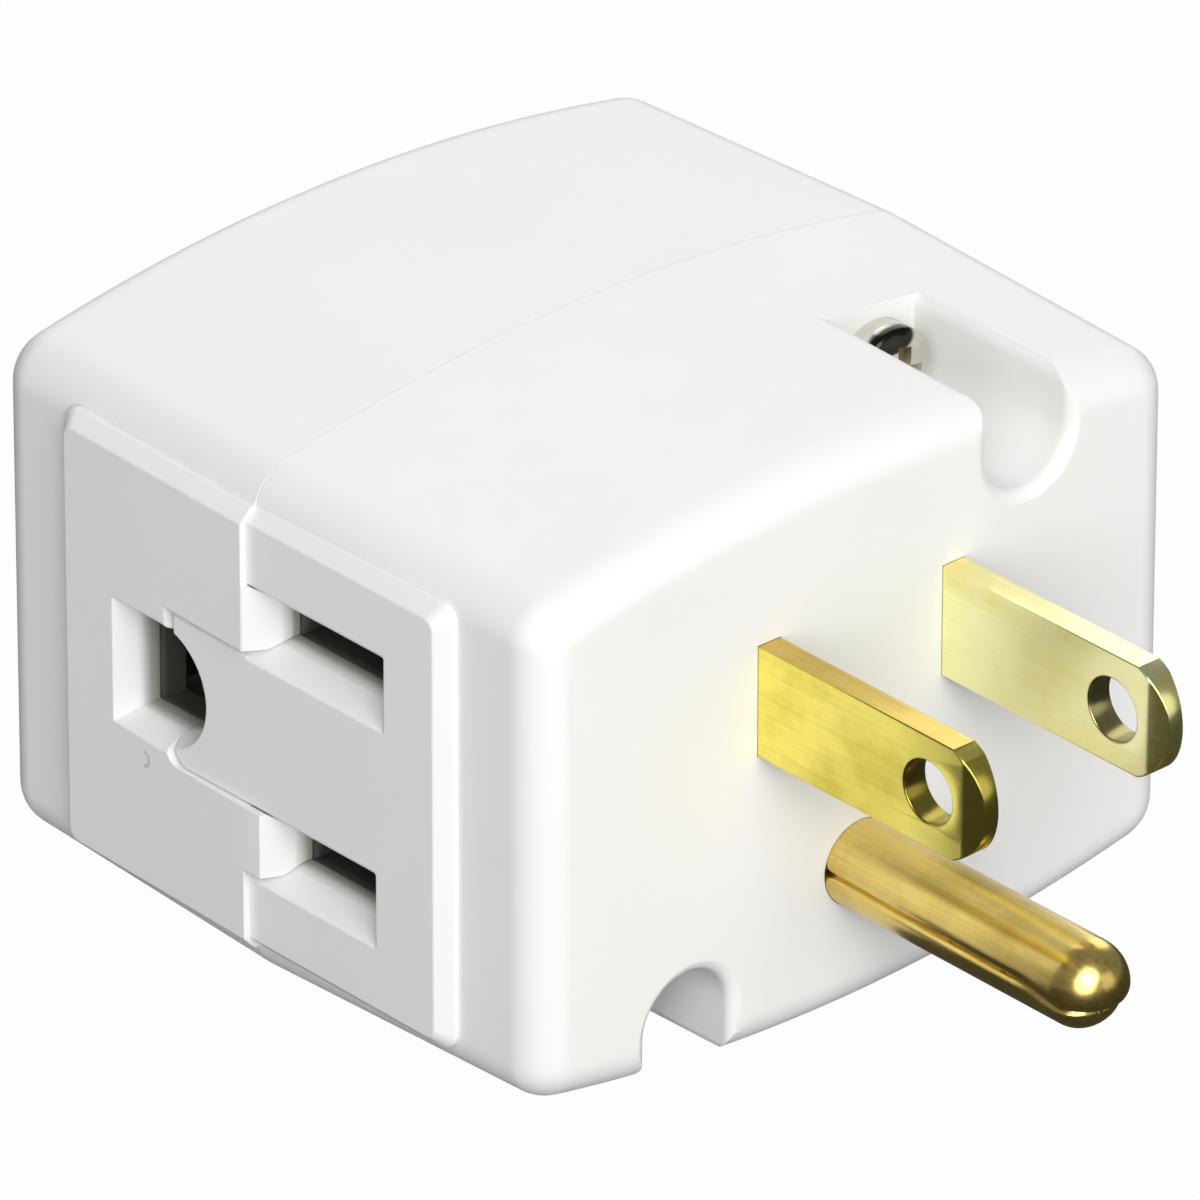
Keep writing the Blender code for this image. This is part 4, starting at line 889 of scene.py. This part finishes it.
def make_blade(name, side, cad_node, material):
    """Flat blade with softened edges, a hole and a planed tip."""
    half = BLADE_WIDTH / 2
    spread = asin(half / BLADE_TIP_RADIUS)
    tip = arc((BLADE_LENGTH - BLADE_TIP_RADIUS, 0), BLADE_TIP_RADIUS, -spread, spread, 40)
    shoulder = -PAD_DEPTH - BLADE_SHOULDER_GAP
    root_end = shoulder - BLADE_ROOT_LENGTH
    ear = half + BLADE_EAR
    outline = tip + [(shoulder, half), (shoulder, ear), (root_end, ear), (root_end, -ear), (shoulder, -ear),
                     (shoulder, -half)]
    hole = arc((BLADE_HOLE_REACH, 0), BLADE_HOLE_DIAMETER / 2, 0, -2 * pi, 64)[:-1]
    bm = outline_curve(name, [outline, hole], BLADE_THICKNESS / 2, BLADE_EDGE)
    start = BLADE_LENGTH - BLADE_TAPER_LENGTH
    for cut in (start - TAPER_BLEND, start, start + TAPER_BLEND):
        geometry = bm.verts[:] + bm.edges[:] + bm.faces[:]
        bmesh.ops.bisect_plane(bm, geom=geometry, dist=1e-8, plane_co=(cut, 0, 0), plane_no=(1, 0, 0))
    lean = (BLADE_THICKNESS - BLADE_TIP_THICKNESS) / 2 / BLADE_TAPER_LENGTH
    for vert in bm.verts:
        reach = vert.co.x - start
        drop = 0.0
        if reach > TAPER_BLEND - 1e-9:
            drop = lean * reach
        elif reach > -1e-9:
            drop = lean * TAPER_BLEND / 3
        if drop:
            scale = (BLADE_THICKNESS / 2 - drop) / (BLADE_THICKNESS / 2)
            vert.co.z *= scale
    turn = Matrix(((0, 0, 1, side * BLADE_SPACING / 2), (1, 0, 0, 0), (0, 1, 0, 0), (0, 0, 0, 1)))
    moved(bm, turn)
    item = mesh_object(name, [bm])
    finish(item, material, 20)
    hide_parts(cad_node)
    return item


def groove_level(reach):
    """Height of the pin's seam above its axis: it sinks slowly, then faster at the nose."""
    slow = 0.32 * MM * max(reach, 0) / (15 * MM)
    fast = 0.50 * MM * smooth((reach - 14.2 * MM) / (3.0 * MM))
    return 0.15 * MM - slow - fast


def make_pin(material):
    """Ground pin rolled from sheet: a seam that runs into a nose folded from two lobes."""
    start_y = -PAD_DEPTH - PIN_ROOT
    nose_y = PIN_LENGTH - PIN_RADIUS
    sides = 180
    rings = [(start_y + (nose_y - start_y) * i / 80, 0.0) for i in range(81)]
    rings += [(nose_y, pi / 2 * i / 30) for i in range(1, 30)]
    loops = []
    for base_y, turn in rings:
        radius = PIN_RADIUS * cos(turn)
        level = groove_level(base_y + PIN_RADIUS * sin(turn))
        loop = []
        for k in range(sides):
            angle = 2 * pi * k / sides
            away = radius * sin(angle) - level
            share = 1.0 if cos(angle) > 0 else smooth(turn / 0.5)
            groove = sum(depth * exp(-(away / width) ** 2) for depth, width in GROOVES)
            back = PIN_CLEFT * sin(turn) * smooth(-away / GROOVES[0][1])
            r = radius - groove * share * cos(turn)
            y = base_y + PIN_RADIUS * sin(turn) - groove * share * sin(turn) - back
            loop.append((r * cos(angle), y, -PIN_DROP + r * sin(angle)))
        loops.append(loop)
    bm = loft(loops)
    item = mesh_object("pin_rolled", [bm])
    finish(item, material, 60)
    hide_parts("ground_pin")
    return item


def make_screw(screw, material):
    """Pan head screw with a domed top, rounded rim and a cross recess."""
    x, rise = SCREWS[screw]
    middle_z = BODY_MID_Z + rise
    seat = -CHANNEL_DEPTH
    top = seat + SCREW_HEAD_HEIGHT
    head = SCREW_HEAD_RADIUS
    core = SCREW_RADIUS - THREAD_DEPTH
    point = 0.0005 * MM
    profile = [(head * sin(radians(a)), top - SCREW_HEAD_DOME * (1 - cos(radians(a))))
               for a in range(0, 91, 6)]
    profile[0] = (point, profile[0][1])
    profile += [(head, seat + 0.25 * MM), (head - 0.12 * MM, seat), (SCREW_RADIUS, seat)]
    y = seat
    while y > seat - THREAD_LENGTH:
        profile += [(core, y - 0.35 * MM), (SCREW_RADIUS, y - 0.55 * MM), (core, y - 0.75 * MM)]
        y -= THREAD_PITCH
    profile.append((point, seat - SCREW_LENGTH))
    turns = [2 * pi * i / 64 for i in range(64)]
    rings = [[(x + r * cos(turn), level, middle_z + r * sin(turn)) for turn in turns] for r, level in profile]
    item = mesh_object(screw + "_screw_bright", [loft(rings)])
    for spin in RECESS_SPINS:
        rings = []
        for share, y in ((0.34, top - RECESS_DEPTH), (0.5, top + 0.1 * MM)):
            half_length = RECESS_LENGTH * share
            half_width = RECESS_WIDTH * share
            corners = rectangle(-half_length, half_length, -half_width, half_width)
            rings.append([(x + a * cos(spin) - b * sin(spin), y, middle_z + a * sin(spin) + b * cos(spin))
                          for a, b in corners])
        combine(item, "DIFFERENCE", [loft(rings)])
    finish(item, material, 40)
    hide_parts(screw + "_screw")
    return item


# Floor, surroundings, lamps and camera

def make_floor():
    """Plain white floor that keeps a soft shadow."""
    place = Matrix.Translation((0, 0, CAD_BOX[0].z))
    bm = bmesh.new()
    bmesh.ops.create_grid(bm, x_segments=4, y_segments=4, size=3.0, matrix=place)
    floor = mesh_object("floor", [bm])
    material = bpy.data.materials.new("white_floor")
    material.use_nodes = True
    tree = material.node_tree
    tree.nodes.clear()
    out = tree.nodes.new("ShaderNodeOutputMaterial")
    diffuse = node(tree, "ShaderNodeBsdfDiffuse", Color=(0.42, 0.42, 0.42, 1))
    glow = node(tree, "ShaderNodeEmission", Color=(1, 1, 1, 1), Strength=1.0)
    dim = node(tree, "ShaderNodeEmission", Color=(1.0, 0.98, 0.9, 1), Strength=0.07)
    path = tree.nodes.new("ShaderNodeLightPath")
    seen = tree.nodes.new("ShaderNodeMath")
    seen.operation = "MULTIPLY"
    seen.inputs[1].default_value = 0.975
    tree.links.new(path.outputs["Is Camera Ray"], seen.inputs[0])
    mirrored = tree.nodes.new("ShaderNodeMixShader")
    tree.links.new(path.outputs["Is Glossy Ray"], mirrored.inputs[0])
    tree.links.new(diffuse.outputs[0], mirrored.inputs[1])
    tree.links.new(dim.outputs[0], mirrored.inputs[2])
    mix = tree.nodes.new("ShaderNodeMixShader")
    tree.links.new(seen.outputs[0], mix.inputs[0])
    tree.links.new(mirrored.outputs[0], mix.inputs[1])
    tree.links.new(glow.outputs[0], mix.inputs[2])
    tree.links.new(mix.outputs[0], out.inputs["Surface"])
    floor.data.materials.append(material)


def make_world():
    """White surroundings for the camera, a soft level for the light and a dim one for reflections."""
    world = bpy.data.worlds.new("studio")
    bpy.context.scene.world = world
    world.use_nodes = True
    tree = world.node_tree
    tree.nodes.clear()
    out = tree.nodes.new("ShaderNodeOutputWorld")
    levels = [node(tree, "ShaderNodeBackground", Color=(1, 1, 1, 1), Strength=level)
              for level in (0.27, 0.22, 1.0)]
    path = tree.nodes.new("ShaderNodeLightPath")
    shader = levels[0].outputs[0]
    for ray, level in (("Is Glossy Ray", levels[1]), ("Is Camera Ray", levels[2])):
        mix = tree.nodes.new("ShaderNodeMixShader")
        tree.links.new(path.outputs[ray], mix.inputs[0])
        tree.links.new(shader, mix.inputs[1])
        tree.links.new(level.outputs[0], mix.inputs[2])
        shader = mix.outputs[0]
    tree.links.new(shader, out.inputs["Surface"])


def area_light(name, place, target, size, power):
    """A soft round lamp aimed at a point."""
    data = bpy.data.lights.new(name, "AREA")
    data.shape = "DISK"
    data.size = size
    data.energy = power
    lamp = bpy.data.objects.new(name, data)
    bpy.context.scene.collection.objects.link(lamp)
    lamp.location = place
    lamp.rotation_euler = (Vector(target) - Vector(place)).to_track_quat("-Z", "Y").to_euler()


def make_camera():
    """The photograph's viewpoint."""
    data = bpy.data.cameras.new("camera")
    data.lens = 480.0
    data.sensor_width = 36.0
    data.clip_start = 0.05
    data.clip_end = 20.0
    camera = bpy.data.objects.new("camera", data)
    bpy.context.scene.collection.objects.link(camera)
    right = Vector((-0.7421, 0.6703, 0.0))
    up = Vector((-0.3212, -0.3556, 0.8777))
    roll = radians(0.076)
    turned_right = (right * cos(roll) + up * sin(roll)).normalized()
    turned_up = (up * cos(roll) - right * sin(roll)).normalized()
    back = turned_right.cross(turned_up)
    place = Vector((0.4848, 0.5170, 0.3901))
    camera.matrix_world = Matrix(((turned_right.x, turned_up.x, back.x, place.x),
                                  (turned_right.y, turned_up.y, back.y, place.y),
                                  (turned_right.z, turned_up.z, back.z, place.z), (0, 0, 0, 1)))
    bpy.context.scene.camera = camera


PLASTIC = white_plastic()
# The two blades are one brass in two copies lit differently: the far blade's paler colours are painted light;
# the third colour of each is its planed end's painted shade, the fourth the tint of its narrow edges
BRIGHT = brass("near_blade_brass", (1.00, 0.87, 0.20), (0.70, 0.58, 0.09), 0.16, 0.32, "Y",
               (0.62, 0.60, 0.50), (0.68, 0.57, 0.62))
PALE = brass("far_blade_brass", (1.00, 0.99, 0.56), (0.91, 0.84, 0.34), 0.16, 0.32, "Y",
             (1.0, 0.95, 0.70), (0.97, 0.92, 0.85))
GOLD = brass("pin_brass", (0.80, 0.61, 0.19), (0.50, 0.36, 0.10), 0.20, 0.32, "Y")
STRIP = brass("strip_brass", (0.85, 0.66, 0.33), (0.74, 0.54, 0.25), 0.22, 0.42, "X")
NICKEL = nickel()

make_plug_housing(PLASTIC)
make_rear_housing(PLASTIC)
make_blade("near_blade", 1, "hot_blade", BRIGHT)
make_blade("far_blade", -1, "neutral_blade", PALE)
make_pin(GOLD)
for screw_name in SCREWS:
    make_screw(screw_name, NICKEL)

# Strip metal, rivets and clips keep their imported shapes
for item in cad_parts.values():
    if not item.hide_render:
        item.data.materials.clear()
        item.data.materials.append(STRIP)

make_floor()
make_world()
area_light("key", (0.40, 0.94, 0.86), (0, -0.01, 0), 1.0, 8.4)
area_light("face", (0.63, 0.81, 0.42), (0, 0, 0), 1.0, 7.8)
area_light("fill", (-0.45, 1.00, 0.25), (0, 0, 0), 0.8, 1.1)
area_light("back", (-0.70, -0.78, 0.57), (0, 0, 0), 1.5, 8.5)
make_camera()
bpy.context.scene.view_settings.view_transform = "Standard"
